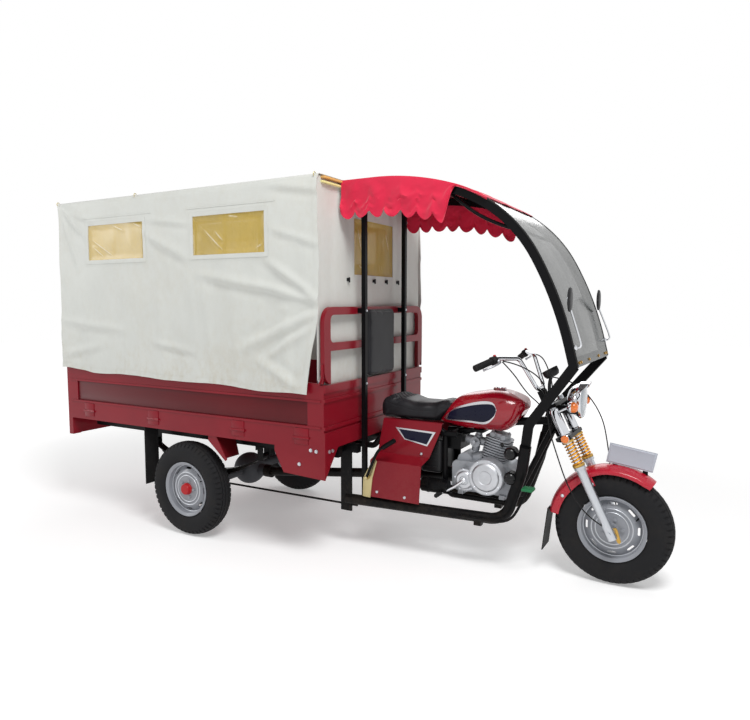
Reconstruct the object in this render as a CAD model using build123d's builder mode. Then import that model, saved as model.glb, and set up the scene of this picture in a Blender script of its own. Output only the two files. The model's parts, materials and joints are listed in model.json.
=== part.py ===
"""Motor cargo tricycle with a covered load box and a driver canopy.

Millimetres. +X is forward, +Y is left, +Z is up. The origin is on the ground
under the middle of the overall length.
"""

import os
from math import atan, cos, radians, sin

from build123d import *

os.makedirs("parts", exist_ok=True)

# Overall layout
WHEELBASE = 2350
TRACK = 1070
TYRE_R = 285
TYRE_W = 126
REAR_OVERHANG = 1095
BOX_FRONT = 1010
BOX_REAR = 1080
BOX_W = 1170
COVER_TOP = 2054
COVER_T = 3
COVER_CLEAR = 9
GAP = 5
SLIP = 0.3

COVER_W = BOX_W + 2 * (COVER_CLEAR + COVER_T)
XR = (REAR_OVERHANG - WHEELBASE - TYRE_R) / 2
XF = XR + WHEELBASE
XB = XR + BOX_FRONT
XT = XR - BOX_REAR
AXLE_Z = TYRE_R
SIDES = (("right", -1), ("left", 1))

# Wheels
RIM_R = 165
RIM_HALF = 54
RIM_SHEET = 5
HUB_R = 32
DRUM_R = 78
HUB_HALF = 42
CAP_OUT = 58
SPINDLE_R = 16
DISC_IN = 8
DISC_OUT = 30
DISC_SLOTS = 8
SLOT_L = 42
SLOT_W = 11
SLOT_R = 124
RING_R = 88
RING_W = 7
RING_DEEP = 2
LUG_COUNT = 5
LUG_CIRCLE = 52
LUG_R = 9
LUG_H = 10

# Load bed
BED_BOTTOM = 632
FLOOR_TOP = 690
FLOOR_T = 8
TREAD_T = 3
TREAD_ENDS = 30
SILL_W = 40
BOARD_T = 22
SIDE_TOP = 985
POST_W = 60
POST_D = 40
VALANCE_BOTTOM = 517
VALANCE_T = 5
PANEL_T = 25
PANEL_TOP = 975
HEAD_TOP = 1382
HEAD_RAIL = 42
HEAD_MID = 1173
HEAD_CORNER = 80
HEAD_ROUND = 30 / 146
BEARERS = (-930, -560, -200, 200, 560, 920)
BEARER_W = 40
BAND = (757, 885)
BAND_ENDS = (65, 85)
BAND_DEPTH = 7
RIDGE_T = 4
RIDGE_H = 12
SKIRT_T = 4
SKIRT_SIDE = ((-332, 640), (-332, 601), (-271, 487), (0, 475), (0, 640))
SKIRT_FRONT = ((0, 475), (0, 640), (-135, 640), (-105, 606))
SKIRT_BRACE = ((184, 640), (184, 603), (312, 494), (322, 504), (240, 640))
BRACE_T = 8
GATE_SILL = 20
FLAP_BACK = 345
FLAP_LOW = 267
FLAP_T = 6

# Chassis
RAIL_Y = 400
RAIL_W = 40
RAIL_H = 72
RAIL_BOTTOM = BED_BOTTOM - RAIL_H
CROSS_X = (-930, -400, 400, 905)
CROSS_W = 50
STUB_Y = 255
STUB_W = 40
STUB_H = 50
TUBE_R = 17
SEAT_Y = 105
SEAT_BASE = 750
BACKBONE_R = 21
TANK_BASE = 722
CRADLE_Y = 95
CRADLE_Z = 350
CRADLE_R = 15
AIR_BOX = (40, 72)
AIR_BOX_Z = (602, 690)

# Rear axle and springs
AXLE_R = 32
DIFF_R = 105
NOSE_L = 40
NOSE_R = AXLE_R + 8
SPRING_W = 50
SPRING_HALF = 450
SPRING_LOW = 332
SPRING_RISE = 125
LEAF_T = 9
LEAVES = 5

# Fork
RAKE = 26
FORK_Y = 105
STEER_BACK = 45
LEG_R = 23
STANCHION_R = 17
LEG_TOP = 345
SPRING_TOP = 486
YOKE_LOW = 488
YOKE_HIGH = 660
YOKE_T = 18
STANCHION_TOP = 700
STEM_R = 15
HEAD_R = 27
BAR_R = 11
BAR_RISE = 772

# Canopy
CANOPY_Y = 370
CANOPY_TOP = 2018
RAIL_DEPTH = 40
RAIL_THICK = 20
SCREEN_X = -134
SCREEN_Z = 1105
SCREEN_SLOPE = 76
CANOPY_RISE = CANOPY_TOP - SCREEN_Z
SCREEN_ROUND = 1700 / 913
SCREEN_SWEEP = 15
BROW_ROUND = 720 / 913
BROW_SWEEP = 43
ROOF_ROUND = 1400 / 913
CANOPY_ARCS = (
    (SCREEN_ROUND * CANOPY_RISE, SCREEN_SWEEP),
    (BROW_ROUND * CANOPY_RISE, BROW_SWEEP),
    (ROOF_ROUND * CANOPY_RISE, SCREEN_SLOPE - SCREEN_SWEEP - BROW_SWEEP),
)
POST_SIDE = 25
POST_AHEAD = 38
CLOTH_T = 3
CLOTH_Y = 388
CLOTH_ARC = 14.3
SCREEN_ARC = 31
SCREEN_T = 3
VALANCE_DROP = 150
SCALLOP = 42
SCALLOPS = 7

# Guard tubes
GUARD_R = 29
GUARD_Z = 284
STRUT_RUN = 0.86
STRUT = (14, 48)

FORK = Plane(
    origin=(XF, 0, AXLE_Z),
    x_dir=(cos(radians(RAKE)), 0, sin(radians(RAKE))),
    z_dir=(-sin(radians(RAKE)), 0, cos(radians(RAKE))),
)


def on_fork(x, y, s):
    return tuple(FORK.from_local_coords(Vector(x, y, s)))


def block(x, y, z, mode=Mode.ADD):
    with Locations((sum(x) / 2, sum(y) / 2, sum(z) / 2)):
        Box(abs(x[1] - x[0]), abs(y[1] - y[0]), abs(z[1] - z[0]), mode=mode)


def rod(start, end, radius, mode=Mode.ADD):
    line = Vector(*end) - Vector(*start)
    with BuildSketch(Plane(origin=start, z_dir=line)) as ring:
        Circle(radius)
    extrude(ring.sketch, amount=line.length, mode=mode)


def tube(points, radius, bend):
    with BuildLine() as path:
        FilletPolyline(*points, radius=bend)
    with BuildSketch(Plane(origin=path.line @ 0, z_dir=path.line % 0)) as ring:
        Circle(radius)
    sweep(ring.sketch, path=path.line)


def plate(plane, points, amount, mode=Mode.ADD):
    with BuildSketch(plane) as outline:
        with BuildLine():
            Polyline(*points, close=True)
        make_face()
    extrude(outline.sketch, amount=amount, mode=mode)


def across(side, y):
    return Plane(origin=(0, side * y, 0), x_dir=(1, 0, 0), z_dir=(0, -1, 0))


def save(builder, name):
    builder.part.label = name
    export_step(builder.part, f"parts/{name}.step")


# Wheels and tyres
TYRE_SECTION = ((0, 50), (50, 63), (97, 56), (120, 32))
RIM_SECTION = ((0, 49), (-13, 46), (-15, 20), (-25, 8))
WHEELS = (
    ("front_", "", XF, 0, -1, DRUM_R),
    ("rear_", "_right", XR, -TRACK / 2, -1, HUB_R),
    ("rear_", "_left", XR, TRACK / 2, 1, HUB_R),
)
for front, back, x, y, side, barrel in WHEELS:
    hub = Plane(origin=(x, y, AXLE_Z), x_dir=(1, 0, 0), z_dir=(0, side, 0))
    half = Plane(origin=hub.origin, x_dir=(0, 0, 1), z_dir=(-side, 0, 0))
    spin = Axis(hub.origin, hub.z_dir)
    edge = [(RIM_R + SLIP + r, w) for r, w in TYRE_SECTION[:-1]] + [(TYRE_R, TYRE_SECTION[-1][1])]
    with BuildPart() as tyre:
        with BuildSketch(half) as tyre_face:
            with BuildLine():
                Polyline(*edge, *[(r, -w) for r, w in reversed(edge)], close=True)
            make_face()
        revolve(tyre_face.sketch, axis=spin)
    save(tyre, f"{front}tyre{back}")
    well = [(RIM_R, RIM_HALF)] + [(RIM_R + r, w) for r, w in RIM_SECTION]
    under = [(RIM_R - RIM_SHEET, RIM_HALF)] + [(RIM_R + r - RIM_SHEET, w) for r, w in RIM_SECTION[1:]]
    with BuildPart() as wheel:
        with BuildSketch(half) as rim_face:
            with BuildLine():
                Polyline(
                    *well,
                    *[(r, -w) for r, w in reversed(well)],
                    *[(r, -w) for r, w in under],
                    *reversed(under),
                    close=True,
                )
            make_face()
        revolve(rim_face.sketch, axis=spin)
        with BuildSketch(half) as disc_face:
            with BuildLine():
                Polyline(
                    (RIM_R - 26, DISC_IN),
                    (RIM_R - 26, DISC_IN + RIM_SHEET),
                    (RIM_R - 60, DISC_OUT + RIM_SHEET),
                    (SPINDLE_R + SLIP, DISC_OUT + RIM_SHEET),
                    (SPINDLE_R + SLIP, DISC_OUT),
                    (RIM_R - 62, DISC_OUT),
                    (RIM_R - 30, DISC_IN),
                    close=True,
                )
            make_face()
        revolve(disc_face.sketch, axis=spin)
        with BuildSketch(hub.offset(DISC_IN)) as slots:
            with PolarLocations(SLOT_R, DISC_SLOTS):
                SlotOverall(SLOT_L, SLOT_W, rotation=90)
        extrude(slots.sketch, amount=DISC_OUT, mode=Mode.SUBTRACT)
        with BuildSketch(hub.offset(DISC_OUT + RIM_SHEET - RING_DEEP)) as ring:
            Circle(RING_R + RING_W / 2)
            Circle(RING_R - RING_W / 2, mode=Mode.SUBTRACT)
        extrude(ring.sketch, amount=RING_DEEP, mode=Mode.SUBTRACT)
        with BuildSketch(hub.offset(-HUB_HALF)) as barrel_face:
            Circle(barrel)
            Circle(SPINDLE_R + SLIP, mode=Mode.SUBTRACT)
        extrude(barrel_face.sketch, amount=HUB_HALF + DISC_OUT)
        with BuildSketch(hub.offset(DISC_OUT)) as lugs:
            with PolarLocations(LUG_CIRCLE, LUG_COUNT):
                RegularPolygon(LUG_R, 6)
        extrude(lugs.sketch, amount=RIM_SHEET + LUG_H)
        with BuildSketch(hub.offset(DISC_OUT)) as nose:
            Circle(HUB_R)
            Circle(SPINDLE_R + SLIP, mode=Mode.SUBTRACT)
        extrude(nose.sketch, amount=HUB_HALF - DISC_OUT)
        if y:
            with BuildSketch(hub.offset(HUB_HALF)) as cap:
                Circle(HUB_R)
            extrude(cap.sketch, amount=CAP_OUT - HUB_HALF, taper=15)
    save(wheel, f"{front}wheel{back}")

# Rear axle with the gear case in its middle
with BuildPart() as rear_axle:
    reach = TRACK / 2 + HUB_HALF - SLIP
    stop = TRACK / 2 - HUB_HALF - 1
    rod((XR, -reach, AXLE_Z), (XR, reach, AXLE_Z), SPINDLE_R)
    rod((XR, -stop, AXLE_Z), (XR, stop, AXLE_Z), AXLE_R)
    with Locations((XR, 0, AXLE_Z)):
        Sphere(DIFF_R)
    rod((XR, 0, AXLE_Z), (XR + DIFF_R + NOSE_L, 0, AXLE_Z), NOSE_R)
    for name, side in SIDES:
        rod((XR, side * (stop - 14), AXLE_Z), (XR, side * stop, AXLE_Z), RIM_R - 48)
        pad = side * RAIL_Y
        block((XR - 55, XR + 55), (pad - SPRING_W / 2, pad + SPRING_W / 2), (AXLE_Z, SPRING_LOW))
save(rear_axle, "rear_axle")

# Leaf springs with their hangers
with BuildPart() as leaf_springs:
    for name, side in SIDES:
        face = across(1, side * RAIL_Y + SPRING_W / 2)
        for leaf in range(LEAVES):
            span = SPRING_HALF - 80 * leaf
            low = SPRING_LOW + LEAF_T * (LEAVES - 1 - leaf)
            lift = low + SPRING_RISE * (span / SPRING_HALF) ** 2
            with BuildSketch(face) as leaf_face:
                with BuildLine():
                    ThreePointArc((XR - span, lift), (XR, low), (XR + span, lift))
                    Line((XR + span, lift), (XR + span, lift + LEAF_T))
                    ThreePointArc(
                        (XR + span, lift + LEAF_T), (XR, low + LEAF_T), (XR - span, lift + LEAF_T)
                    )
                    Line((XR - span, lift + LEAF_T), (XR - span, lift))
                make_face()
            extrude(leaf_face.sketch, amount=SPRING_W)
        top = SPRING_LOW + LEAF_T * LEAVES
        block(
            (XR - 45, XR + 45),
            (side * RAIL_Y - SPRING_W / 2 - 6, side * RAIL_Y + SPRING_W / 2 + 6),
            (top, top + 14),
        )
        for end in (-1, 1):
            eye = top + SPRING_RISE
            x = XR + end * SPRING_HALF
            rod((x, side * RAIL_Y - 32, eye), (x, side * RAIL_Y + 32, eye), 18)
            for cheek in (-1, 1):
                y = side * RAIL_Y + cheek * 29
                block((x - 20, x + 20), (y - 3, y + 3), (eye - 22, RAIL_BOTTOM))
save(leaf_springs, "leaf_springs")

# Chassis
HEAD_LOW = YOKE_LOW + YOKE_T + 4
HEAD_HIGH = YOKE_HIGH - 4
ENGINE_REAR = XF - 832
with BuildPart() as chassis_frame:
    for name, side in SIDES:
        y = side * RAIL_Y
        block(
            (XT + 70, XB - PANEL_T), (y - RAIL_W / 2, y + RAIL_W / 2), (RAIL_BOTTOM, BED_BOTTOM)
        )
        stub = side * STUB_Y
        block(
            (XB - 180, XB + 10), (stub - STUB_W / 2, stub + STUB_W / 2), (RAIL_BOTTOM, RAIL_BOTTOM + STUB_H)
        )
        tube(
            (
                (XB - 110, side * 150, RAIL_BOTTOM + STUB_H / 2),
                (XB + 50, side * 150, RAIL_BOTTOM + STUB_H / 2),
                (XB + 150, side * SEAT_Y, SEAT_BASE - TUBE_R),
                (ENGINE_REAR - 120, side * SEAT_Y, SEAT_BASE - TUBE_R),
                (ENGINE_REAR - 40, side * SEAT_Y, 690),
                (ENGINE_REAR + 32, side * SEAT_Y, 690),
            ),
            TUBE_R,
            34,
        )
        tube(
            (
                on_fork(-STEER_BACK - 10, side * 22, HEAD_LOW + 62),
                (XF - 452, side * CRADLE_Y, 430),
                (XF - 488, side * CRADLE_Y, CRADLE_Z),
                (ENGINE_REAR - 10, side * CRADLE_Y, CRADLE_Z),
                (ENGINE_REAR - 40, side * CRADLE_Y, 430),
                (ENGINE_REAR - 40, side * CRADLE_Y, 684),
            ),
            CRADLE_R,
            30,
        )
    for x in CROSS_X:
        block(
            (XR + x - CROSS_W / 2, XR + x + CROSS_W / 2),
            (-RAIL_Y, RAIL_Y),
            (RAIL_BOTTOM, RAIL_BOTTOM + STUB_H),
        )
    tube(
        (
            on_fork(-STEER_BACK - 8, 0, HEAD_HIGH - 60),
            (XF - 560, 0, 765),
            (ENGINE_REAR + 20, 0, 690),
            (ENGINE_REAR - 60, 0, 690),
        ),
        BACKBONE_R,
        60,
    )
    rod((ENGINE_REAR, -SEAT_Y, 690), (ENGINE_REAR, SEAT_Y, 690), CRADLE_R)
    block((ENGINE_REAR - AIR_BOX[0], ENGINE_REAR + AIR_BOX[0]), (-AIR_BOX[1], AIR_BOX[1]), AIR_BOX_Z)
    block((XF - 720, XF - 660), (-80, 80), (TANK_BASE - 14, TANK_BASE))
    rod(on_fork(-STEER_BACK, 0, HEAD_LOW), on_fork(-STEER_BACK, 0, HEAD_HIGH), HEAD_R)
    rod(
        on_fork(-STEER_BACK, 0, HEAD_LOW - 1),
        on_fork(-STEER_BACK, 0, HEAD_HIGH + 1),
        STEM_R + 2,
        mode=Mode.SUBTRACT,
    )
save(chassis_frame, "chassis_frame")

# Guard tubes with their hanging plates
GUARD_REAR = (XB - 75, STUB_Y, GUARD_Z)
GUARD_BEND = (XF - 510, 150, 275)
GUARD_KNEE = (XF - 419, 170, 556)
GUARD_TOP = (XF - 397, 195, 687)


GUARD_SLANT = (GUARD_BEND[1] - GUARD_REAR[1]) / (GUARD_BEND[0] - GUARD_REAR[0])
GUARD_FALL = (GUARD_BEND[2] - GUARD_REAR[2]) / (GUARD_BEND[0] - GUARD_REAR[0])


def guard_y(x):
    return GUARD_REAR[1] + GUARD_SLANT * (x - GUARD_REAR[0])


def guard_top(x):
    return GUARD_REAR[2] + GUARD_FALL * (x - GUARD_REAR[0]) + GUARD_R


def guard_side(x, reach):
    return guard_y(x - reach) + GUARD_R / cos(atan(GUARD_SLANT))


HORNS = ((637, 160), (509, 146))
with BuildPart() as side_guards:
    for name, side in SIDES:
        path = (GUARD_REAR, GUARD_BEND, GUARD_KNEE, GUARD_TOP)
        tube([(x, side * y, z) for x, y, z in path], GUARD_R, (110, 90))
        y = side * STUB_Y
        block((XB - 110, XB - 40), (y - 6, y + 6), (GUARD_Z - 70, RAIL_BOTTOM))
        step = XF - 650
        block((step - 20, step + 20), (side * (guard_y(step) - 18), side * (guard_y(step) + 18)), (232, 260))
    for z, arm in HORNS:
        rod((XF - 478, -136, z), (XF - 478, -176, z), 32)
        block((XF - 478, XF - 425), (-arm, -arm - 20), (z - 10, z + 10))
save(side_guards, "side_guards")

# Engine
CRANK = (XF - 832, XF - 500)
CRANK_Z = (382, 545)
CRANK_Y = 92
CASE_SOFT = 28
LEAN = 13
BASE_S = 46
BASE = (110, 104)
BASE_H = 36
BASE_CORNER = 20
CASE_COVERS = (
    (-1, -618, 488, 95, 66),
    (-1, -740, 455, 62, 48),
    (1, -645, 470, 84, 58),
    (1, -740, 460, 60, 44),
)
COVER_SINK = 5
FOOT_X = (CRANK[0] + 40, CRANK[1] - 60)
FOOT_W = 30
FOOT_OUT = 10
FOOT_SINK = 6
STARTER = ((10, 520), (150, 560), 34)
SHIFT_BOSS = (60, 60, 545, 40)
CYLINDER = Plane(
    origin=(XF - 630, 0, CRANK_Z[1] - 30),
    x_dir=(cos(radians(LEAN)), 0, -sin(radians(LEAN))),
    z_dir=(sin(radians(LEAN)), 0, cos(radians(LEAN))),
)


def on_cylinder(x, y, s):
    return tuple(CYLINDER.from_local_coords(Vector(x, y, s)))


with BuildPart() as engine_case:
    block(CRANK, (-CRANK_Y, CRANK_Y), CRANK_Z)
    fillet(engine_case.edges().filter_by(Axis.Y), CASE_SOFT)
    for side, x, z, radius, depth in CASE_COVERS:
        rod((XF + x, side * (CRANK_Y - COVER_SINK), z), (XF + x, side * (CRANK_Y + depth), z), radius)
    foot_y = CRADLE_Y + FOOT_OUT
    for x in FOOT_X:
        block((x, x + FOOT_W), (-foot_y, foot_y), (CRADLE_Z + CRADLE_R, CRANK_Z[0] + FOOT_SINK))
    (x, z), (end_x, end_z), radius = STARTER
    rod((CRANK[0] + x, 0, z), (CRANK[0] + end_x, 0, end_z), radius)
    x, half, z, radius = SHIFT_BOSS
    rod((CRANK[0] + x, -half, z), (CRANK[0] + x, half, z), radius)
    with BuildSketch(CYLINDER.offset(BASE_S - BASE_H)) as base:
        RectangleRounded(*BASE, BASE_CORNER)
    extrude(base.sketch, amount=BASE_H)
save(engine_case, "engine_case")

FIN_COUNT = 9
FIN_PITCH = 14
FIN = (136, 126)
FIN_CORNER = 26
FIN_T = 5
FIN_FIRST = 4
BARREL = (100, 96)
BARREL_CORNER = 20
INTAKE = ((-45, 120), (-180, 100), 24)
CARB = (-120, 104, 35, 28)
ROCKER = (96, 84)
ROCKER_H = 24
ROCKER_CORNER = 16
ROCKER_SOFT = 5
with BuildPart() as engine_cylinder:
    with BuildSketch(CYLINDER.offset(BASE_S)) as bore:
        RectangleRounded(*BARREL, BARREL_CORNER)
    extrude(bore.sketch, amount=FIN_COUNT * FIN_PITCH)
    for fin in range(FIN_COUNT):
        with BuildSketch(CYLINDER.offset(BASE_S + FIN_FIRST + fin * FIN_PITCH)) as fin_face:
            RectangleRounded(*FIN, FIN_CORNER)
        extrude(fin_face.sketch, amount=FIN_T)
    with BuildSketch(CYLINDER.offset(BASE_S + FIN_COUNT * FIN_PITCH)) as rocker:
        RectangleRounded(*ROCKER, ROCKER_CORNER)
    extrude(rocker.sketch, amount=ROCKER_H)
    crown = engine_cylinder.faces().sort_by(Axis(CYLINDER.origin, CYLINDER.z_dir))[-1]
    fillet(crown.edges(), ROCKER_SOFT)
    (x, s), (end_x, end_s), radius = INTAKE
    rod(on_cylinder(x, 0, s), on_cylinder(end_x, 0, end_s), radius)
    x, s, half, radius = CARB
    rod(on_cylinder(x, -half, s), on_cylinder(x, half, s), radius)
save(engine_cylinder, "engine_cylinder")

PIPE_R = 15
PIPE_BEND = 22
PORT = (30, 110)
PORT_GAP = 0.2
PORT_OUT = 35.8
PIPE_Z = CRADLE_Z + 10
PIPE = ((-498, 124, 545), (-524, 132, 400), (-595, 139, PIPE_Z - 6), (-860, 160, PIPE_Z))
SILENCER = (XF - 850, XB + 60)
SILENCER_Y = 172
SILENCER_R = 40
TAIL = (XB + 70, XB - 60)
TAIL_R = 14
with BuildPart() as exhaust:
    port_x = FIN[0] / 2 + PORT_GAP
    way_out = (on_cylinder(port_x, *PORT), on_cylinder(port_x + PORT_OUT, *PORT))
    tube((*way_out, *[(XF + x, y, z) for x, y, z in PIPE]), PIPE_R, PIPE_BEND)
    for span, radius in ((SILENCER, SILENCER_R), (TAIL, TAIL_R)):
        rod((span[0], SILENCER_Y, PIPE_Z), (span[1], SILENCER_Y, PIPE_Z), radius)
save(exhaust, "exhaust")

SHAFT_R = 28
SHAFT_Z = 435
SHAFT_SINK = 10
REAR_COUPLING = (50, 42)
FRONT_COUPLING = (60, 40)
with BuildPart() as drive_shaft:
    nose = XR + DIFF_R + NOSE_L
    rear = nose + REAR_COUPLING[0]
    ahead = CRANK[0] - FRONT_COUPLING[0]
    rod((nose, 0, AXLE_Z), (rear, 0, AXLE_Z), REAR_COUPLING[1])
    rod((rear - SHAFT_SINK, 0, AXLE_Z), (ahead + SHAFT_SINK, 0, SHAFT_Z), SHAFT_R)
    rod((ahead, 0, SHAFT_Z), (CRANK[0], 0, SHAFT_Z), FRONT_COUPLING[1])
save(drive_shaft, "drive_shaft")

# Tank, seat and side panels
TANK = (
    (-912, 70, 752, 770),
    (-870, 95, 742, 822),
    (-832, 108, 732, 876),
    (-750, 126, 722, 915),
    (-650, 133, 722, 934),
    (-581, 133, 722, 939),
    (-534, 127, 734, 931),
    (-478, 104, 790, 910),
    (-445, 58, 845, 884),
)
CAP_X = -598
CAP_R = 34
CAP_Z = (930, 949)
TUNNEL_HALF = BACKBONE_R + 8
TUNNEL = (600, 812)
TANK_SPAN = (XF - 930, XF - 400)
SEAT_CUT = ((-1000, 700), (-917, 745), (-824, 884), (-1000, 1000))
TANK_HALF = 200
with BuildPart() as fuel_tank:
    for x, half_width, low, high in TANK:
        with BuildSketch(Plane(origin=(XF + x, 0, (low + high) / 2), x_dir=(0, 1, 0), z_dir=(1, 0, 0))):
            RectangleRounded(2 * half_width, high - low, 0.45 * min(high - low, 2 * half_width))
    loft()
    block(TANK_SPAN, (-TUNNEL_HALF, TUNNEL_HALF), TUNNEL, mode=Mode.SUBTRACT)
    block(TANK_SPAN, (-TANK_HALF, TANK_HALF), (TUNNEL[0], TANK_BASE), mode=Mode.SUBTRACT)
    plate(
        Plane.XZ.offset(-TANK_HALF),
        [(XF + x, z) for x, z in SEAT_CUT],
        2 * TANK_HALF,
        mode=Mode.SUBTRACT,
    )
    rod((XF + CAP_X, 0, CAP_Z[0]), (XF + CAP_X, 0, CAP_Z[1]), CAP_R)
save(fuel_tank, "fuel_tank")

SEAT_HALF = 140
SEAT_LINE = (
    (XB + 72, SEAT_BASE),
    (XF - 922, SEAT_BASE),
    (XF - 838, 876),
    (XF - 920, 858),
    (XF - 1013, 853),
    (XB + 150, 880),
    (XB + 80, 872),
)
with BuildPart() as seat:
    plate(Plane.XZ.offset(-SEAT_HALF), SEAT_LINE, 2 * SEAT_HALF)
save(seat, "seat")

PANEL_Y = 262
SHELL_T = 4
SIDE_REACH = 300
SHELL_X = (XB + 85, XF - 872)
SHELL_IN = SEAT_Y + 20
SHELL_OUT = ((SHELL_IN, SEAT_BASE), (150, SEAT_BASE), (180, 560), (PANEL_Y, 530), (PANEL_Y, 320))
SHELL_BACK = (
    (PANEL_Y - SHELL_T, 320),
    (PANEL_Y - SHELL_T, 527),
    (176, 557),
    (147, SEAT_BASE - SHELL_T),
    (SHELL_IN, SEAT_BASE - SHELL_T),
)
REAR_CUT = ((XB + 85, SEAT_BASE), (XB + 111, SEAT_BASE), (XB + 85, 520))
FRONT_CUT = ((XF - 872, 720), (XF - 942, 530), (XF - 955, 300), (XF - 860, 300))
with BuildPart() as side_panels:
    for name, side in SIDES:
        with BuildSketch(Plane(origin=(SHELL_X[0], 0, 0), x_dir=(0, 1, 0), z_dir=(1, 0, 0))) as shell_face:
            with BuildLine():
                Polyline(*[(side * y, z) for y, z in SHELL_OUT + SHELL_BACK], close=True)
            make_face()
        extrude(shell_face.sketch, amount=SHELL_X[1] - SHELL_X[0])
    for cut in (REAR_CUT, FRONT_CUT):
        plate(Plane.XZ.offset(-SIDE_REACH), cut, 2 * SIDE_REACH, mode=Mode.SUBTRACT)
save(side_panels, "side_panels")

# Hand brake, foot brake and kick lever
LEVER_X = XB + 72
LEVER_Y = -288
LEVER_R = 9
LEVER_BEND = 60
LEVER = ((0, 424), (72, 585), (178, 660))
LEVER_GRIP = ((105, 608), (178, 660), 14)
BRACKET_HALF = 12
BRACKET_T = 4
BRACKET_TOP = 445
PIVOT_Z = 430
PIVOT_END = -296
PEDAL_X = XF - 750
PEDAL_Z = 283
PEDAL_BOSS = (14, 24, 13)
PEDAL_KNEE = XF - 480
PEDAL_END = XF - 375
PEDAL_R = 7
PEDAL_BEND = 50
PEDAL_OUT = 15
PEDAL_PAD = (XF - 400, XF - 345)
PAD_SPAN = (-45, 12)
PAD_Z = (470, 484)
KICK_HUB = 11
KICK_R = 8
KICK_BEND = 40
KICK = ((0, 16, 0), (60, 24, 45), (130, 30, 83))
KICK_FOOT = (126, 26, 92, 81)
with BuildPart() as driver_controls:
    y = -guard_y(LEVER_X)
    base = guard_top(LEVER_X - BRACKET_HALF)
    bracket = (LEVER_X - BRACKET_HALF, LEVER_X + BRACKET_HALF)
    block(bracket, (y - BRACKET_T, y + BRACKET_T), (base, BRACKET_TOP))
    rod((LEVER_X, y + BRACKET_T, PIVOT_Z), (LEVER_X, PIVOT_END, PIVOT_Z), LEVER_R)
    tube([(LEVER_X + x, LEVER_Y, z) for x, z in LEVER], LEVER_R, LEVER_BEND)
    (x, z), (end_x, end_z), radius = LEVER_GRIP
    rod((LEVER_X + x, LEVER_Y, z), (LEVER_X + end_x, LEVER_Y, end_z), radius)
    half, out, rise = PEDAL_BOSS
    side_y = -guard_side(PEDAL_X, half)
    block((PEDAL_X - half, PEDAL_X + half), (side_y, side_y - out), (PEDAL_Z - rise, PEDAL_Z + rise))
    y = side_y - PEDAL_OUT
    tube(((PEDAL_X, y, PEDAL_Z), (PEDAL_KNEE, y, PEDAL_Z), (PEDAL_END, y, PAD_Z[0])), PEDAL_R, PEDAL_BEND)
    block(PEDAL_PAD, (side_y + PAD_SPAN[0], side_y + PAD_SPAN[1]), PAD_Z)
    side, x, z, radius, depth = CASE_COVERS[1]
    kick = (XF + x, side * (CRANK_Y + depth), z)
    rod(kick, (kick[0], kick[1] - 2 * KICK_HUB, kick[2]), KICK_HUB)
    tube([(kick[0] - back, kick[1] - out, kick[2] - down) for back, out, down in KICK], KICK_R, KICK_BEND)
    back, near, far, down = KICK_FOOT
    rod(
        (kick[0] - back, kick[1] - near, kick[2] - down),
        (kick[0] - back, kick[1] - far, kick[2] - down),
        KICK_HUB,
    )
save(driver_controls, "driver_controls")

# Load bed
SIDE_Y = BOX_W / 2
BOW_R = 12.5
BOW_GAP = 5.5
BOW_X = (-1000, -345, 310, 950)
BOW_Y = SIDE_Y - BOARD_T - BOW_R - BOW_GAP
HINGE_R = 6
HINGE_X = XT - HINGE_R
HINGE_Z = FLOOR_TOP
HINGES = (-380, 0, 380)
KNUCKLE = 30
with BuildPart() as bed_frame:
    block((XT + POST_D, XB - PANEL_T), (SILL_W - SIDE_Y, SIDE_Y - SILL_W), (FLOOR_TOP - FLOOR_T, FLOOR_TOP))
    tread_y = BOW_Y - BOW_R - GAP
    block(
        (XT + POST_D + TREAD_ENDS, XB - PANEL_T - TREAD_ENDS),
        (-tread_y, tread_y),
        (FLOOR_TOP - FLOOR_T, FLOOR_TOP + TREAD_T),
    )
    block((XB - PANEL_T, XB), (-SIDE_Y, SIDE_Y), (BED_BOTTOM, FLOOR_TOP))
    sill_x = XT + GATE_SILL
    block((sill_x, sill_x + VALANCE_T), (-SIDE_Y, SIDE_Y), (VALANCE_BOTTOM, FLOOR_TOP))
    block((sill_x, XT + POST_D + 1), (-SIDE_Y, SIDE_Y), (BED_BOTTOM, FLOOR_TOP))
    for x in BEARERS:
        block((XR + x - BEARER_W / 2, XR + x + BEARER_W / 2), (-SIDE_Y, SIDE_Y), (BED_BOTTOM, FLOOR_TOP - 1))
    for name, side in SIDES:
        block((XT, XB), (side * (SIDE_Y - SILL_W), side * SIDE_Y), (BED_BOTTOM, FLOOR_TOP))
        block((XT, XT + POST_D), (side * (SIDE_Y - POST_W), side * SIDE_Y), (VALANCE_BOTTOM, SIDE_TOP))
        plate(
            across(1, side * SIDE_Y + (SKIRT_T if side < 0 else 0)),
            [(XB + x, z) for x, z in SKIRT_SIDE],
            SKIRT_T,
        )
        plate(
            Plane(origin=(XB - SKIRT_T, 0, 0), x_dir=(0, 1, 0), z_dir=(1, 0, 0)),
            [(side * (SIDE_Y + y), z) for y, z in SKIRT_FRONT],
            SKIRT_T,
        )
        plate(
            across(1, side * (SIDE_Y - SKIRT_T - BRACE_T) + BRACE_T / 2),
            [(XR + x, z) for x, z in SKIRT_BRACE],
            BRACE_T,
        )
    for y in HINGES:
        for end in (-1, 1):
            near = y + end * (KNUCKLE + SLIP)
            far = near + end * 20
            rod((HINGE_X, near, HINGE_Z), (HINGE_X, far, HINGE_Z), HINGE_R)
            block((HINGE_X, XT + 21), (near, far), (HINGE_Z - 14, HINGE_Z))
save(bed_frame, "bed_frame")

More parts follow.
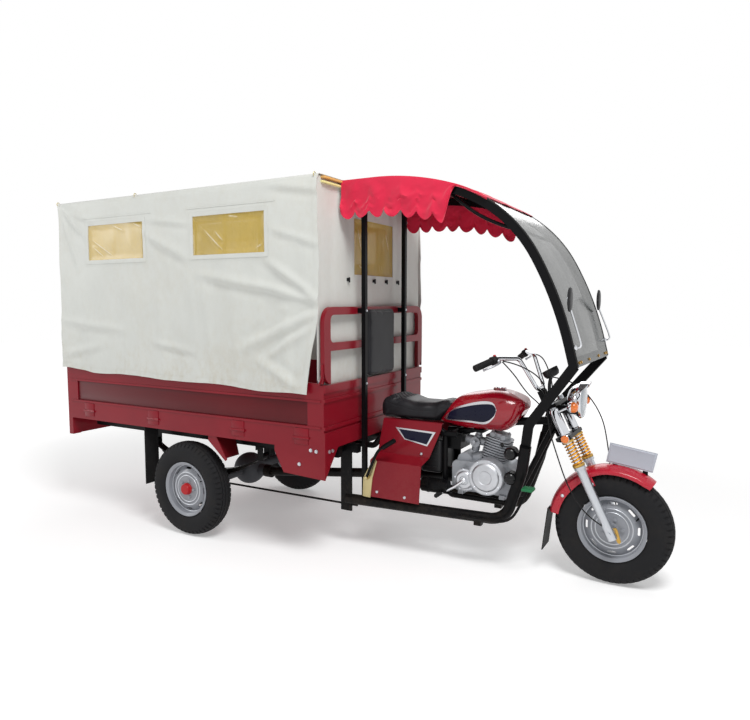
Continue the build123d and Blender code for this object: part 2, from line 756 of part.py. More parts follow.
with BuildPart() as box_front_panel:
    block((XB - PANEL_T, XB - PANEL_T + 18), (-SIDE_Y, SIDE_Y), (FLOOR_TOP, PANEL_TOP))
    foot_rib = (FLOOR_TOP, FLOOR_TOP + 36)
    head_rib = (PANEL_TOP - 40, PANEL_TOP)
    for low, high in (foot_rib, (BAND[0] - 18, BAND[0]), (BAND[1], BAND[1] + 18), head_rib):
        block((XB - PANEL_T, XB), (-SIDE_Y, SIDE_Y), (low, high))
save(box_front_panel, "box_front_panel")

with BuildPart() as headboard_frame:
    with BuildSketch(Plane(origin=(XB - PANEL_T, 0, 0), x_dir=(0, 1, 0), z_dir=(1, 0, 0))) as head_face:
        with Locations((0, (PANEL_TOP + HEAD_TOP) / 2)):
            Rectangle(BOX_W, HEAD_TOP - PANEL_TOP)
        fillet(head_face.vertices().group_by(Axis.Z)[-1], HEAD_CORNER)
        low = HEAD_MID - HEAD_RAIL / 2
        high = HEAD_MID + HEAD_RAIL / 2
        with Locations((0, (PANEL_TOP + low) / 2)):
            Rectangle(BOX_W - 2 * POST_W, low - PANEL_TOP, mode=Mode.SUBTRACT)
        opening = HEAD_TOP - HEAD_RAIL - high
        with Locations((0, high + opening / 2)):
            RectangleRounded(BOX_W - 2 * POST_W, opening, HEAD_ROUND * opening, mode=Mode.SUBTRACT)
    extrude(head_face.sketch, amount=PANEL_T)
save(headboard_frame, "headboard_frame")

PAD_HALF = 165
PAD_T = 22
with BuildPart() as backrest_pad:
    block((XB, XB + PAD_T), (-PAD_HALF, PAD_HALF), (PANEL_TOP + 4, HEAD_TOP - 8))
    fillet(backrest_pad.edges().filter_by(Axis.X), 30)
save(backrest_pad, "backrest_pad")

for name, side in SIDES:
    with BuildPart() as side_board:
        span = (XT + POST_D, XB - PANEL_T)
        block(span, (side * (SIDE_Y - BOARD_T), side * SIDE_Y), (FLOOR_TOP, SIDE_TOP))
        block(
            (span[0] + BAND_ENDS[0], span[1] - BAND_ENDS[1]),
            (side * (SIDE_Y - BAND_DEPTH), side * SIDE_Y),
            BAND,
            mode=Mode.SUBTRACT,
        )
        for z in (BAND[0] - RIDGE_H, BAND[1]):
            block(span, (side * (SIDE_Y - 2), side * (SIDE_Y + RIDGE_T)), (z, z + RIDGE_H))
    save(side_board, f"side_board_{name}")

# Tailgate on hinges along its lower edge
GATE_HALF = SIDE_Y - POST_W - GAP
with BuildPart() as tailgate:
    block((XT, XT + BOARD_T - 4), (-GATE_HALF, GATE_HALF), (FLOOR_TOP + GAP, SIDE_TOP))
    block((XT + 7, XT + BOARD_T), (-GATE_HALF + 60, GATE_HALF - 60), BAND, mode=Mode.SUBTRACT)
    for z in (BAND[0] - RIDGE_H, BAND[1]):
        block((XT - RIDGE_T, XT + 2), (-GATE_HALF, GATE_HALF), (z, z + RIDGE_H))
    for y in HINGES:
        rod((HINGE_X, y - KNUCKLE, HINGE_Z), (HINGE_X, y + KNUCKLE, HINGE_Z), HINGE_R)
        block((HINGE_X - HINGE_R, XT + 2), (y - KNUCKLE, y + KNUCKLE), (HINGE_Z, HINGE_Z + 40))
save(tailgate, "tailgate")

with BuildPart() as tail_lamps:
    for name, side in SIDES:
        block((XT - 12, XT), (side * (SIDE_Y - 52), side * (SIDE_Y - 8)), (560, 650))
save(tail_lamps, "tail_lamps")

with BuildPart() as mud_flaps:
    for name, side in SIDES:
        block(
            (XR - FLAP_BACK - FLAP_T, XR - FLAP_BACK),
            (side * (SIDE_Y - 110), side * (SIDE_Y - 4)),
            (FLAP_LOW, BED_BOTTOM),
        )
save(mud_flaps, "mud_flaps")

# Load cover on its tube frame
EAVE_GAP = 3.5
HEM_REAR = 966
HEM_FRONT = 924
HEM_BACK = 69
BAR_Z = COVER_TOP - COVER_T - BOW_R
COVER_Y = COVER_W / 2
EAVE_Y = COVER_Y - COVER_T - BOW_R - EAVE_GAP
COVER_REAR = XR - REAR_OVERHANG
COVER_FRONT = XB - PANEL_T
SHEET_X = COVER_FRONT - 10
WINDOWS = ((-784, -284), (127, 645))
WINDOW_Z = (1672, 1890)
FILM_T = 1.5
LAP = 25
with BuildPart() as cover_uprights:
    for x in BOW_X:
        for name, side in SIDES:
            rod((XR + x, side * BOW_Y, FLOOR_TOP), (XR + x, side * BOW_Y, BAR_Z - BOW_R + 1), BOW_R)
save(cover_uprights, "cover_uprights")

with BuildPart() as cover_roof_frame:
    for x in BOW_X:
        rod((XR + x, -EAVE_Y, BAR_Z), (XR + x, EAVE_Y, BAR_Z), BOW_R - 1)
    for y in (-EAVE_Y, 0, EAVE_Y):
        rod((XR + BOW_X[0] - BOW_R, y, BAR_Z), (XR + BOW_X[-1] + BOW_R, y, BAR_Z), BOW_R)
save(cover_roof_frame, "cover_roof_frame")

with BuildPart() as cover_roof:
    block((COVER_REAR, COVER_FRONT), (-COVER_Y, COVER_Y), (COVER_TOP - COVER_T, COVER_TOP))
save(cover_roof, "cover_roof")

for name, side in SIDES:
    with BuildPart() as cover_side:
        plate(
            across(1, side * COVER_Y + (COVER_T if side < 0 else 0)),
            (
                (COVER_REAR, HEM_REAR),
                (COVER_FRONT - HEM_BACK, HEM_FRONT),
                (COVER_FRONT, HEAD_TOP),
                (COVER_FRONT, COVER_TOP - COVER_T),
                (COVER_REAR, COVER_TOP - COVER_T),
            ),
            COVER_T,
        )
        for low, high in WINDOWS:
            block((XR + low, XR + high), (0, side * (COVER_Y + 1)), WINDOW_Z, mode=Mode.SUBTRACT)
    save(cover_side, f"cover_side_{name}")

FRONT_WINDOW = (230, 1560, 1870)
with BuildPart() as cover_front:
    half = COVER_Y - COVER_T
    block((SHEET_X - COVER_T, SHEET_X), (-half, half), (SIDE_TOP + GAP, COVER_TOP - COVER_T))
    half = SIDE_Y - BOARD_T - GAP
    block((SHEET_X - COVER_T, SHEET_X), (-half, half), (PANEL_TOP - LAP, SIDE_TOP + GAP))
    block(
        (SHEET_X - COVER_T, SHEET_X),
        (-FRONT_WINDOW[0], FRONT_WINDOW[0]),
        FRONT_WINDOW[1:],
        mode=Mode.SUBTRACT,
    )
save(cover_front, "cover_front")

with BuildPart() as cover_windows:
    inside = COVER_Y - COVER_T
    for name, side in SIDES:
        for low, high in WINDOWS:
            block(
                (XR + low - LAP, XR + high + LAP),
                (side * (inside - FILM_T), side * inside),
                (WINDOW_Z[0] - LAP, WINDOW_Z[1] + LAP),
            )
    block(
        (SHEET_X - COVER_T - FILM_T, SHEET_X - COVER_T),
        (-FRONT_WINDOW[0] - LAP, FRONT_WINDOW[0] + LAP),
        (FRONT_WINDOW[1] - LAP, FRONT_WINDOW[2] + LAP),
    )
save(cover_windows, "cover_windows")

CURTAIN_R = 34
CURTAIN_X = XR - 1052
CURTAIN_Y = COVER_Y - 42
with BuildPart() as rear_curtain:
    z = COVER_TOP - COVER_T - CURTAIN_R
    rod((CURTAIN_X, -CURTAIN_Y, z), (CURTAIN_X, CURTAIN_Y, z), CURTAIN_R)
save(rear_curtain, "rear_curtain")

# Driver canopy: curved rails, posts, cloth and windscreen
RISE = 0
turned = SCREEN_SLOPE
for radius, swept in CANOPY_ARCS:
    RISE += radius * (cos(radians(turned - swept)) - cos(radians(turned)))
    turned -= swept
LOW_RUN = (CANOPY_TOP - RISE - SCREEN_Z) / sin(radians(SCREEN_SLOPE))
RAIL_REAR = XB - 6


def canopy_path(low=0.0, bends=CANOPY_ARCS, rear=None):
    start = (XF + SCREEN_X, SCREEN_Z)
    angle = 180 - SCREEN_SLOPE
    heading = (cos(radians(angle)), sin(radians(angle)))
    with BuildLine(Plane.XZ) as path:
        first = Line(
            (start[0] + low * heading[0], start[1] + low * heading[1]),
            (start[0] + LOW_RUN * heading[0], start[1] + LOW_RUN * heading[1]),
        )
        for radius, sweep_angle in bends:
            first = JernArc(first @ 1, first % 1, radius, sweep_angle)
        if rear is not None:
            Line(first @ 1, (rear, (first @ 1).Z))
    return path


with BuildPart() as canopy_frame:
    path = canopy_path(rear=RAIL_REAR)
    for name, side in SIDES:
        start = path.line @ 0
        with BuildSketch(
            Plane(origin=(start.X, side * CANOPY_Y, start.Z), x_dir=(0, 1, 0), z_dir=path.line % 0)
        ) as rail:
            Rectangle(RAIL_THICK, RAIL_DEPTH)
        sweep(rail.sketch, path=path.line.moved(Location((0, side * CANOPY_Y, 0))))
        strut = (
            GUARD_TOP,
            tuple(b + STRUT_RUN * (b - a) for a, b in zip(GUARD_KNEE, GUARD_TOP)),
            (XF + SCREEN_X, CANOPY_Y, SCREEN_Z + 10),
        )
        points = [(x, side * y, z) for x, y, z in strut]
        with BuildLine() as strut_path:
            FilletPolyline(*points, radius=80)
        with BuildSketch(
            Plane(origin=points[0], x_dir=(0, 1, 0), z_dir=strut_path.line % 0)
        ) as bar:
            Rectangle(*STRUT)
        sweep(bar.sketch, path=strut_path.line)
    block((XB + POST_AHEAD - 12, XB + POST_AHEAD + 12), (-CANOPY_Y, CANOPY_Y), (CANOPY_TOP - 20, CANOPY_TOP))
    rod((XF - 950, -CANOPY_Y, CANOPY_TOP - 4), (XF - 950, CANOPY_Y, CANOPY_TOP - 4), 9)
    slope = Plane(
        origin=(XF + SCREEN_X, 0, SCREEN_Z),
        x_dir=(0, 1, 0),
        z_dir=(sin(radians(SCREEN_SLOPE)), 0, cos(radians(SCREEN_SLOPE))),
    )
    with BuildSketch(slope.offset(-6)) as sill:
        with Locations((0, 24)):
            Rectangle(2 * CANOPY_Y, 48)
    extrude(sill.sketch, amount=12)
save(canopy_frame, "canopy_frame")

with BuildPart() as canopy_posts:
    x = XB + POST_AHEAD
    for name, side in SIDES:
        y = side * guard_y(x)
        half = POST_SIDE / 2
        foot = guard_top(x - half)
        block((x - half, x + half), (y - half, y + half), (foot, CANOPY_TOP - 20))
        block((XB, x - half), (y - 12, y + 12), (HEAD_TOP - 36, HEAD_TOP - 8))
save(canopy_posts, "canopy_posts")

with BuildPart() as windscreen:
    arcs = (CANOPY_ARCS[0], (CANOPY_ARCS[1][0], SCREEN_ARC))
    path = canopy_path(low=4, bends=arcs)
    start = path.line @ 0
    lift = RAIL_DEPTH / 2 + SCREEN_T / 2
    with BuildSketch(Plane(origin=start, x_dir=(0, 1, 0), z_dir=path.line % 0)) as pane:
        with Locations((0, -lift)):
            Rectangle(2 * CANOPY_Y + RAIL_THICK, SCREEN_T)
    sweep(pane.sketch, path=path.line)
save(windscreen, "windscreen")

with BuildPart() as canopy_cloth:
    x0 = XB - 18
    bend_x = XF + SCREEN_X - LOW_RUN * cos(radians(SCREEN_SLOPE))
    turned = SCREEN_SLOPE
    for radius, swept in CANOPY_ARCS:
        bend_x -= radius * (sin(radians(turned)) - sin(radians(turned - swept)))
        turned -= swept
    with BuildLine(Plane.XZ) as cloth_path:
        top = Line((x0, CANOPY_TOP), (bend_x, CANOPY_TOP))
        long_arc = JernArc(top @ 1, top % 1, CANOPY_ARCS[2][0], -CANOPY_ARCS[2][1])
        JernArc(long_arc @ 1, long_arc % 1, CANOPY_ARCS[1][0], -CLOTH_ARC)
    lift = RAIL_DEPTH / 2 + SCREEN_T + 1 + CLOTH_T / 2
    with BuildSketch(Plane(origin=(x0, 0, CANOPY_TOP), x_dir=(0, 1, 0), z_dir=(1, 0, 0))) as cloth_face:
        with Locations((0, lift)):
            Rectangle(2 * CLOTH_Y, CLOTH_T)
    sweep(cloth_face.sketch, path=cloth_path.line)
    pitch = (XF - 655 - x0) / SCALLOPS
    for name, side in SIDES:
        with BuildSketch(across(1, side * CLOTH_Y + (CLOTH_T if side < 0 else 0))) as valance:
            with BuildLine():
                low = CANOPY_TOP - VALANCE_DROP
                Line((x0, low), (x0, CANOPY_TOP + lift))
                Line((x0, CANOPY_TOP + lift), (bend_x, CANOPY_TOP + lift))
                Line((bend_x, CANOPY_TOP + lift), (XF - 655, CANOPY_TOP - 100))
                Line((XF - 655, CANOPY_TOP - 100), (XF - 655, low))
                for i in range(SCALLOPS):
                    a = XF - 655 - i * pitch
                    ThreePointArc((a, low), (a - pitch / 2, low - SCALLOP), (a - pitch, low))
            make_face()
        extrude(valance.sketch, amount=CLOTH_T)
save(canopy_cloth, "canopy_cloth")

MIRROR_BELOW = 6.8072
MIRROR_RUN = LOW_RUN - MIRROR_BELOW
MIRROR_SIZE = (14, 76, 112)
MIRROR_STEM = 5
MIRROR_BACK = 30
MIRROR_IN = 24
MIRROR_RISE = 313 / 913 * CANOPY_RISE
with BuildPart() as mirrors:
    normal = Vector(sin(radians(SCREEN_SLOPE)), 0, cos(radians(SCREEN_SLOPE)))
    climb = Vector(-cos(radians(SCREEN_SLOPE)), 0, sin(radians(SCREEN_SLOPE)))
    for name, side in SIDES:
        foot = Vector(XF + SCREEN_X, side * CANOPY_Y, SCREEN_Z) + climb * MIRROR_RUN
        foot = foot + normal * (RAIL_DEPTH / 2 + SCREEN_T + SLIP)
        bend = foot + normal * 26
        glass = (XF + SCREEN_X - MIRROR_BACK, side * (CANOPY_Y - MIRROR_IN), SCREEN_Z + MIRROR_RISE)
        tube((tuple(foot), tuple(bend), (glass[0], glass[1], glass[2] - 40)), MIRROR_STEM, 12)
        with Locations(glass):
            Box(*MIRROR_SIZE)
save(mirrors, "mirrors")

# Fork
with BuildPart() as fork_legs:
    for name, side in SIDES:
        y = side * FORK_Y
        rod(on_fork(0, y, -36), on_fork(0, y, LEG_TOP), LEG_R)
        rod(on_fork(0, y, LEG_TOP - 14), on_fork(0, y, LEG_TOP), LEG_R + 6)
        rod(on_fork(0, y, LEG_TOP), on_fork(0, y, STANCHION_TOP), STANCHION_R)
    rod((XF, -FORK_Y - 34, AXLE_Z), (XF, FORK_Y + 34, AXLE_Z), 9)
    for name, side in SIDES:
        stop = HUB_HALF + 1
        rod((XF, side * stop, AXLE_Z), (XF, side * FORK_Y, AXLE_Z), SPINDLE_R + 6)
    rod((XF, -HUB_HALF - 2, AXLE_Z), (XF, HUB_HALF + 2, AXLE_Z), SPINDLE_R)
save(fork_legs, "fork_legs")

COILS = 7
with BuildPart() as fork_springs:
    for name, side in SIDES:
        y = side * FORK_Y
        pitch = (SPRING_TOP - LEG_TOP - 8) / COILS
        for coil in range(COILS):
            s = LEG_TOP + 4 + (coil + 0.5) * pitch
            with Locations(FORK.location * Location((0, y, s))):
                Torus(24, 4.5)
        with BuildSketch(FORK.offset(LEG_TOP)) as sleeve:
            with Locations((0, y)):
                Circle(24)
                Circle(STANCHION_R + SLIP, mode=Mode.SUBTRACT)
        extrude(sleeve.sketch, amount=SPRING_TOP - LEG_TOP)
save(fork_springs, "fork_springs")

with BuildPart() as fork_yokes:
    for s in (YOKE_LOW, YOKE_HIGH):
        with BuildSketch(FORK.offset(s)) as yoke:
            with BuildLine():
                Polyline(
                    (-STEER_BACK - 30, -36),
                    (-STEER_BACK - 30, 36),
                    (-28, FORK_Y + 28),
                    (28, FORK_Y + 28),
                    (28, -FORK_Y - 28),
                    (-28, -FORK_Y - 28),
                    close=True,
                )
            make_face()
            with Locations((0, FORK_Y), (0, -FORK_Y)):
                Circle(STANCHION_R + SLIP, mode=Mode.SUBTRACT)
        extrude(yoke.sketch, amount=YOKE_T)
    rod(on_fork(-STEER_BACK, 0, YOKE_LOW), on_fork(-STEER_BACK, 0, YOKE_HIGH + YOKE_T), STEM_R)
    for y in (-40, 40):
        rod(on_fork(-STEER_BACK, y, YOKE_HIGH + YOKE_T - 2), on_fork(-STEER_BACK, y, BAR_RISE - BAR_R), 14)
save(fork_yokes, "fork_yokes")

bar_mid = on_fork(-STEER_BACK, 0, BAR_RISE)
BAR_PATH = ((0, 0, 0), (0, 62, 0), (-77, 140, 162), (-150, 250, 168), (-224, 370, 125))
with BuildPart() as handlebar:
    for name, side in SIDES:
        points = [(bar_mid[0] + x, side * y, bar_mid[2] + z) for x, y, z in BAR_PATH]
        tube(points, BAR_R, 40)
save(handlebar, "handlebar")

with BuildPart() as hand_controls:
    for name, side in SIDES:
        a = Vector(bar_mid[0] - 150, side * 250, bar_mid[2] + 168)
        b = Vector(bar_mid[0] - 224, side * 370, bar_mid[2] + 125)
        along = (b - a).normalized()
        inner = a + along * 14
        switch = a + along * 8
        outer = b + along * 4
        grip_run = (inner + along * 24, outer, 17)
        switch_run = (switch + along * 4, inner + along * 22, 20)
        for start, end, radius in (grip_run, switch_run):
            line = end - start
            with BuildSketch(Plane(origin=start, z_dir=along)) as grip:
                Circle(radius)
                Circle(BAR_R + SLIP, mode=Mode.SUBTRACT)
            extrude(grip.sketch, amount=line.length)
        lever = switch + along * 16
        ahead = Vector(36, 0, -8)
        tube(
            (
                tuple(lever + Vector(18, 0, -2)),
                tuple(lever + ahead),
                tuple(lever + ahead + along * 110),
            ),
            6,
            8,
        )
save(hand_controls, "hand_controls")

LAMP_Z = 912
LAMP_R = 92
with BuildPart() as headlamp:
    with BuildSketch(Plane.XZ) as lamp_face:
        with BuildLine():
            lamp = XF - 240
            Polyline(
                (lamp, LAMP_Z),
                (lamp, LAMP_Z + 40),
                (lamp + 26, LAMP_Z + 74),
                (lamp + 62, LAMP_Z + LAMP_R),
                (lamp + 78, LAMP_Z + LAMP_R),
                (lamp + 80, LAMP_Z + 80),
                (lamp + 88, LAMP_Z + 40),
                (lamp + 90, LAMP_Z),
                close=True,
            )
        make_face()
    revolve(lamp_face.sketch, axis=Axis((XF, 0, LAMP_Z), (1, 0, 0)))
    with BuildSketch(Plane(origin=(lamp + 70, 0, LAMP_Z), x_dir=(0, 1, 0), z_dir=(1, 0, 0))) as visor:
        Circle(LAMP_R + 3)
        Circle(LAMP_R - 1, mode=Mode.SUBTRACT)
        with Locations((0, -LAMP_R + 20)):
            Rectangle(3 * LAMP_R, 2 * LAMP_R + 40, mode=Mode.SUBTRACT)
    extrude(visor.sketch, amount=46)
    for name, side in SIDES:
        y = side * (FORK_Y - STANCHION_R)
        block((XF - 290, XF - 165), (y, y - side * 22), (LAMP_Z - 76, LAMP_Z - 48))
save(headlamp, "headlamp")

SIGNAL_S = 632
SIGNAL_X = 96
SIGNAL_Y = 146
SIGNAL_R = 26
REFLECTOR_R = 19
with BuildPart() as turn_signals:
    for name, side in SIDES:
        lamp_at = on_fork(SIGNAL_X, side * SIGNAL_Y, SIGNAL_S)
        tube(
            (
                on_fork(STANCHION_R + SLIP, side * FORK_Y, SIGNAL_S),
                on_fork(SIGNAL_X, side * FORK_Y, SIGNAL_S),
                lamp_at,
            ),
            6,
            14,
        )
        rod(lamp_at, (lamp_at[0] + 34, lamp_at[1], lamp_at[2]), SIGNAL_R)
        mid = YOKE_LOW + YOKE_T / 2
        rod(on_fork(0, side * (FORK_Y + 28), mid), on_fork(0, side * (FORK_Y + 44), mid), REFLECTOR_R)
save(turn_signals, "turn_signals")

with BuildPart() as speedometer:
    top = on_fork(-STEER_BACK + 30, 0, YOKE_HIGH + YOKE_T)
    dial = Plane(origin=on_fork(40, 0, BAR_RISE + 30), z_dir=(-0.5, 0, 0.866))
    with BuildSketch(dial) as gauge:
        Circle(42)
    extrude(gauge.sketch, amount=44)
    tube((top, on_fork(-STEER_BACK + 30, 0, BAR_RISE - 50), on_fork(34, 0, BAR_RISE + 40)), 9, 12)
save(speedometer, "speedometer")

FENDER_R = 315
FENDER_T = 3
FENDER_HALF = 74
FENDER_CROWN = 22
FENDER = (53, 171)
STAY_W = 40
STAY_T = 4
STAY_LOW = 232
STAY_BOLT = 262
BOLT_R = 8
FLAP_TOP = (-308, 346)
FLAP_END = (-337, 119)
FLAP_THICK = 6
with BuildPart() as front_fender:
    start, end = FENDER
    across_start = Plane(
        origin=(XF, 0, AXLE_Z),
        x_dir=(cos(radians(start)), 0, sin(radians(start))),
        z_dir=(-sin(radians(start)), 0, cos(radians(start))),
    )
    with BuildSketch(across_start) as fender_face:
        with BuildLine():
            for radius in (FENDER_R, FENDER_R + FENDER_T):
                edge = radius - FENDER_CROWN
                ThreePointArc((edge, -FENDER_HALF), (radius, 0), (edge, FENDER_HALF))
            for y in (-FENDER_HALF, FENDER_HALF):
                Line((FENDER_R - FENDER_CROWN, y), (FENDER_R + FENDER_T - FENDER_CROWN, y))
        make_face()
    revolve(fender_face.sketch, axis=Axis((XF, 0, AXLE_Z), (0, -1, 0)), revolution_arc=end - start)
    stay_top = FENDER_R - FENDER_CROWN + FENDER_T / 2
    for name, side in SIDES:
        with BuildSketch(FORK.offset(STAY_LOW)) as stay:
            with Locations((0, side * (FENDER_HALF - STAY_T / 2))):
                Rectangle(STAY_W, STAY_T)
        extrude(stay.sketch, amount=stay_top - STAY_LOW)
        rod(
            on_fork(0, side * (FENDER_HALF - STAY_T), STAY_BOLT),
            on_fork(0, side * (FORK_Y - LEG_R), STAY_BOLT),
            BOLT_R,
        )
    plate(
        Plane.XZ.offset(-FENDER_HALF + STAY_T),
        (
            (XF + FLAP_TOP[0], FLAP_TOP[1]),
            (XF + FLAP_TOP[0] - FLAP_THICK, FLAP_TOP[1]),
            (XF + FLAP_END[0] - FLAP_THICK, FLAP_END[1]),
            (XF + FLAP_END[0], FLAP_END[1]),
        ),
        2 * (FENDER_HALF - STAY_T),
    )
save(front_fender, "front_fender")

with BuildPart() as number_plate:
    plate(
        Plane.XZ.offset(-4),
        ((XF - 25, 712), (XF + 194, 680), (XF + 174, 584), (XF - 42, 614)),
        8,
    )
    for x, z in ((XF, 620), (XF + 140, 600)):
        low = AXLE_Z + ((FENDER_R + FENDER_T) ** 2 - max(0, x - 12 - XF) ** 2) ** 0.5
        block((x - 12, x + 12), (-5, 5), (low, z))
save(number_plate, "number_plate")

with BuildPart() as control_cables:
    tube(
        (
            on_fork(-STEER_BACK + 44, -64, BAR_RISE + 10),
            on_fork(90, -108, BAR_RISE + 10),
            on_fork(172, -108, 640),
            on_fork(150, -120, 400),
            on_fork(70, -140, 240),
            on_fork(30, -FORK_Y - LEG_R - 4.2, 160),
            on_fork(0, -FORK_Y - LEG_R - 4.2, 60),
        ),
        4,
        40,
    )
save(control_cables, "control_cables")
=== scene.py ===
"""A covered motor cargo tricycle, dressed around its CAD frame."""

import json
import math

import bmesh
import bpy
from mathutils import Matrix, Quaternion, Vector, noise


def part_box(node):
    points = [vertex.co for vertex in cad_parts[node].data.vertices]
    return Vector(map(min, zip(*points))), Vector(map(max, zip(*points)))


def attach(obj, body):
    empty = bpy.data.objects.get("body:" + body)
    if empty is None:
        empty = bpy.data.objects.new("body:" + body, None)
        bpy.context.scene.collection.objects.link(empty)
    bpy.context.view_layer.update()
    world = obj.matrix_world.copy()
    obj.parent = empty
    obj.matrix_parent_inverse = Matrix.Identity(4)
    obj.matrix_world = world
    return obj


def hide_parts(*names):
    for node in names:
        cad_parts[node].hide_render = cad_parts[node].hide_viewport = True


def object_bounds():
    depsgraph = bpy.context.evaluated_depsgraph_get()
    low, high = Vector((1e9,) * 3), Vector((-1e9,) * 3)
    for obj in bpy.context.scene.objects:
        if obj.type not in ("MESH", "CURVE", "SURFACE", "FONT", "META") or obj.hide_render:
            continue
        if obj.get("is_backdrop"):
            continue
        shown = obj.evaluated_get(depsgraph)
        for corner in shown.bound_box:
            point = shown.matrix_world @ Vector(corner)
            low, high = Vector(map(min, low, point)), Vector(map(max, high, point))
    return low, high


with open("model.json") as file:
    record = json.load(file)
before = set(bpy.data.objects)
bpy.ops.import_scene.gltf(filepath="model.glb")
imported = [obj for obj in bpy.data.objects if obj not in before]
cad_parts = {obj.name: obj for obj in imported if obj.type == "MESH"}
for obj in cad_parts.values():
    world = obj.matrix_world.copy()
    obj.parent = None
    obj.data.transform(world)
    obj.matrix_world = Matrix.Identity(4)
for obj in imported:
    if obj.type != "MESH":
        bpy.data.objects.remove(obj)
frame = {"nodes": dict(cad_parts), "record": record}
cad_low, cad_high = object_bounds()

nodes = frame["nodes"]
scene = bpy.context.scene
scene.view_settings.view_transform = "Standard"

# Sizes of the frame that the pieces follow, in metres
REAR_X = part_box("rear_axle")[0].x + 0.117
AXLE_Z = 0.285
FRONT_X = (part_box("front_tyre")[0].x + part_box("front_tyre")[1].x) / 2
BOX_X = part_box("headboard_frame")[1].x
RAKE = math.radians(26)

# Camera, from the photograph's vanishing lines
CAMERA_AT = (2.0701, -3.3040, 1.4019)
CAMERA_YAW = math.radians(29.4)
CAMERA_DIP = math.radians(5.1)
CAMERA_LENS = 30.66


def place_camera():
    data = bpy.data.cameras.new("studio_camera")
    data.lens = CAMERA_LENS
    data.sensor_width = 36
    eye = bpy.data.objects.new("studio_camera", data)
    scene.collection.objects.link(eye)
    look = Vector((
        -math.sin(CAMERA_YAW) * math.cos(CAMERA_DIP),
        math.cos(CAMERA_YAW) * math.cos(CAMERA_DIP),
        -math.sin(CAMERA_DIP),
    ))
    eye.location = CAMERA_AT
    eye.rotation_mode = "QUATERNION"
    eye.rotation_quaternion = look.to_track_quat("-Z", "Y")
    scene.camera = eye


place_camera()


# Shader maths
class Sock:
    """A socket that takes part in sums; each sum adds a Math node."""

    def __init__(self, finish, socket):
        self.finish = finish
        self.socket = socket

    def sum(self, operation, *others):
        settings = {"operation": operation}
        return self.finish.node("ShaderNodeMath", settings, dict(enumerate((self, *others))))

    def flip(self, operation, other):
        return self.finish.node("ShaderNodeMath", {"operation": operation}, {0: other, 1: self})

    def __add__(self, other):
        return self.sum("ADD", other)

    def __sub__(self, other):
        return self.sum("SUBTRACT", other)

    def __mul__(self, other):
        return self.sum("MULTIPLY", other)

    def __rsub__(self, other):
        return self.flip("SUBTRACT", other)

    __radd__ = __add__
    __rmul__ = __mul__


EVEN = (1, 1, 1)


class Finish:
    """One material: a Principled shader and the nodes that feed it."""

    def __init__(self, name, color, rough=0.5, **sockets):
        self.material = bpy.data.materials.new(name)
        self.material.use_nodes = True
        self.tree = self.material.node_tree
        self.shader = self.tree.nodes["Principled BSDF"]
        self.cache = {}
        self.put("Base Color", (*color, 1))
        self.put("Roughness", rough)
        for socket, value in sockets.items():
            self.put(socket.replace("_", " "), value)

    def put(self, socket, value):
        if isinstance(value, Sock):
            self.tree.links.new(value.socket, self.shader.inputs[socket])
        else:
            self.shader.inputs[socket].default_value = value

    def node(self, kind, settings=None, inputs=None, out=0):
        made = self.tree.nodes.new(kind)
        for name, value in (settings or {}).items():
            setattr(made, name, value)
        for key, value in (inputs or {}).items():
            if isinstance(value, Sock):
                self.tree.links.new(value.socket, made.inputs[key])
            else:
                made.inputs[key].default_value = value
        return Sock(self, made.outputs[out])

    def where(self, scale=EVEN):
        if scale not in self.cache:
            coords = self.node("ShaderNodeTexCoord", out="Object")
            if scale != EVEN:
                coords = self.node("ShaderNodeMapping", None, {"Vector": coords, "Scale": scale})
            self.cache[scale] = coords
        return self.cache[scale]

    def axis(self, letter):
        key = "axis" + letter
        if key not in self.cache:
            self.cache[key] = self.node("ShaderNodeSeparateXYZ", None, {0: self.where()}, letter)
        return self.cache[key]

    def noise(self, scale, detail=3.0, rough=0.5, stretch=EVEN):
        inputs = {"Vector": self.where(stretch), "Scale": scale, "Detail": detail, "Roughness": rough}
        return self.node("ShaderNodeTexNoise", None, inputs)

    def cells(self, scale):
        return self.node("ShaderNodeTexVoronoi", None, {"Vector": self.where(), "Scale": scale})

    def wave(self, scale, axis, warp):
        settings = {"wave_type": "BANDS", "bands_direction": axis}
        inputs = {"Vector": self.where(), "Scale": scale, "Distortion": warp, "Detail": 1.0}
        return self.node("ShaderNodeTexWave", settings, inputs, "Fac")

    def span(self, value, low, high, to_low=0.0, to_high=1.0):
        inputs = {0: value, 1: low, 2: high, 3: to_low, 4: to_high}
        return self.node("ShaderNodeMapRange", {"interpolation_type": "SMOOTHSTEP"}, inputs)

    def mix(self, factor, first, second):
        inputs = {0: factor}
        for key, color in ((6, first), (7, second)):
            inputs[key] = color if isinstance(color, Sock) else (*color, 1)
        return self.node("ShaderNodeMix", {"data_type": "RGBA"}, inputs, 2)

    def bump(self, height, strength, distance):
        inputs = {"Height": height, "Strength": strength, "Distance": distance}
        if "normal" in self.cache:
            inputs["Normal"] = self.cache["normal"]
        self.cache["normal"] = self.node("ShaderNodeBump", None, inputs)
        self.put("Normal", self.cache["normal"])


def shade(value, amount):
    return tuple(min(1.0, channel * amount) for channel in value)


def tone(red, green, blue):
    """A colour read as screen values, turned to linear ones."""
    return tuple(
        (c / 255 / 12.92) if c < 11 else ((c / 255 + 0.055) / 1.055) ** 2.4 for c in (red, green, blue)
    )


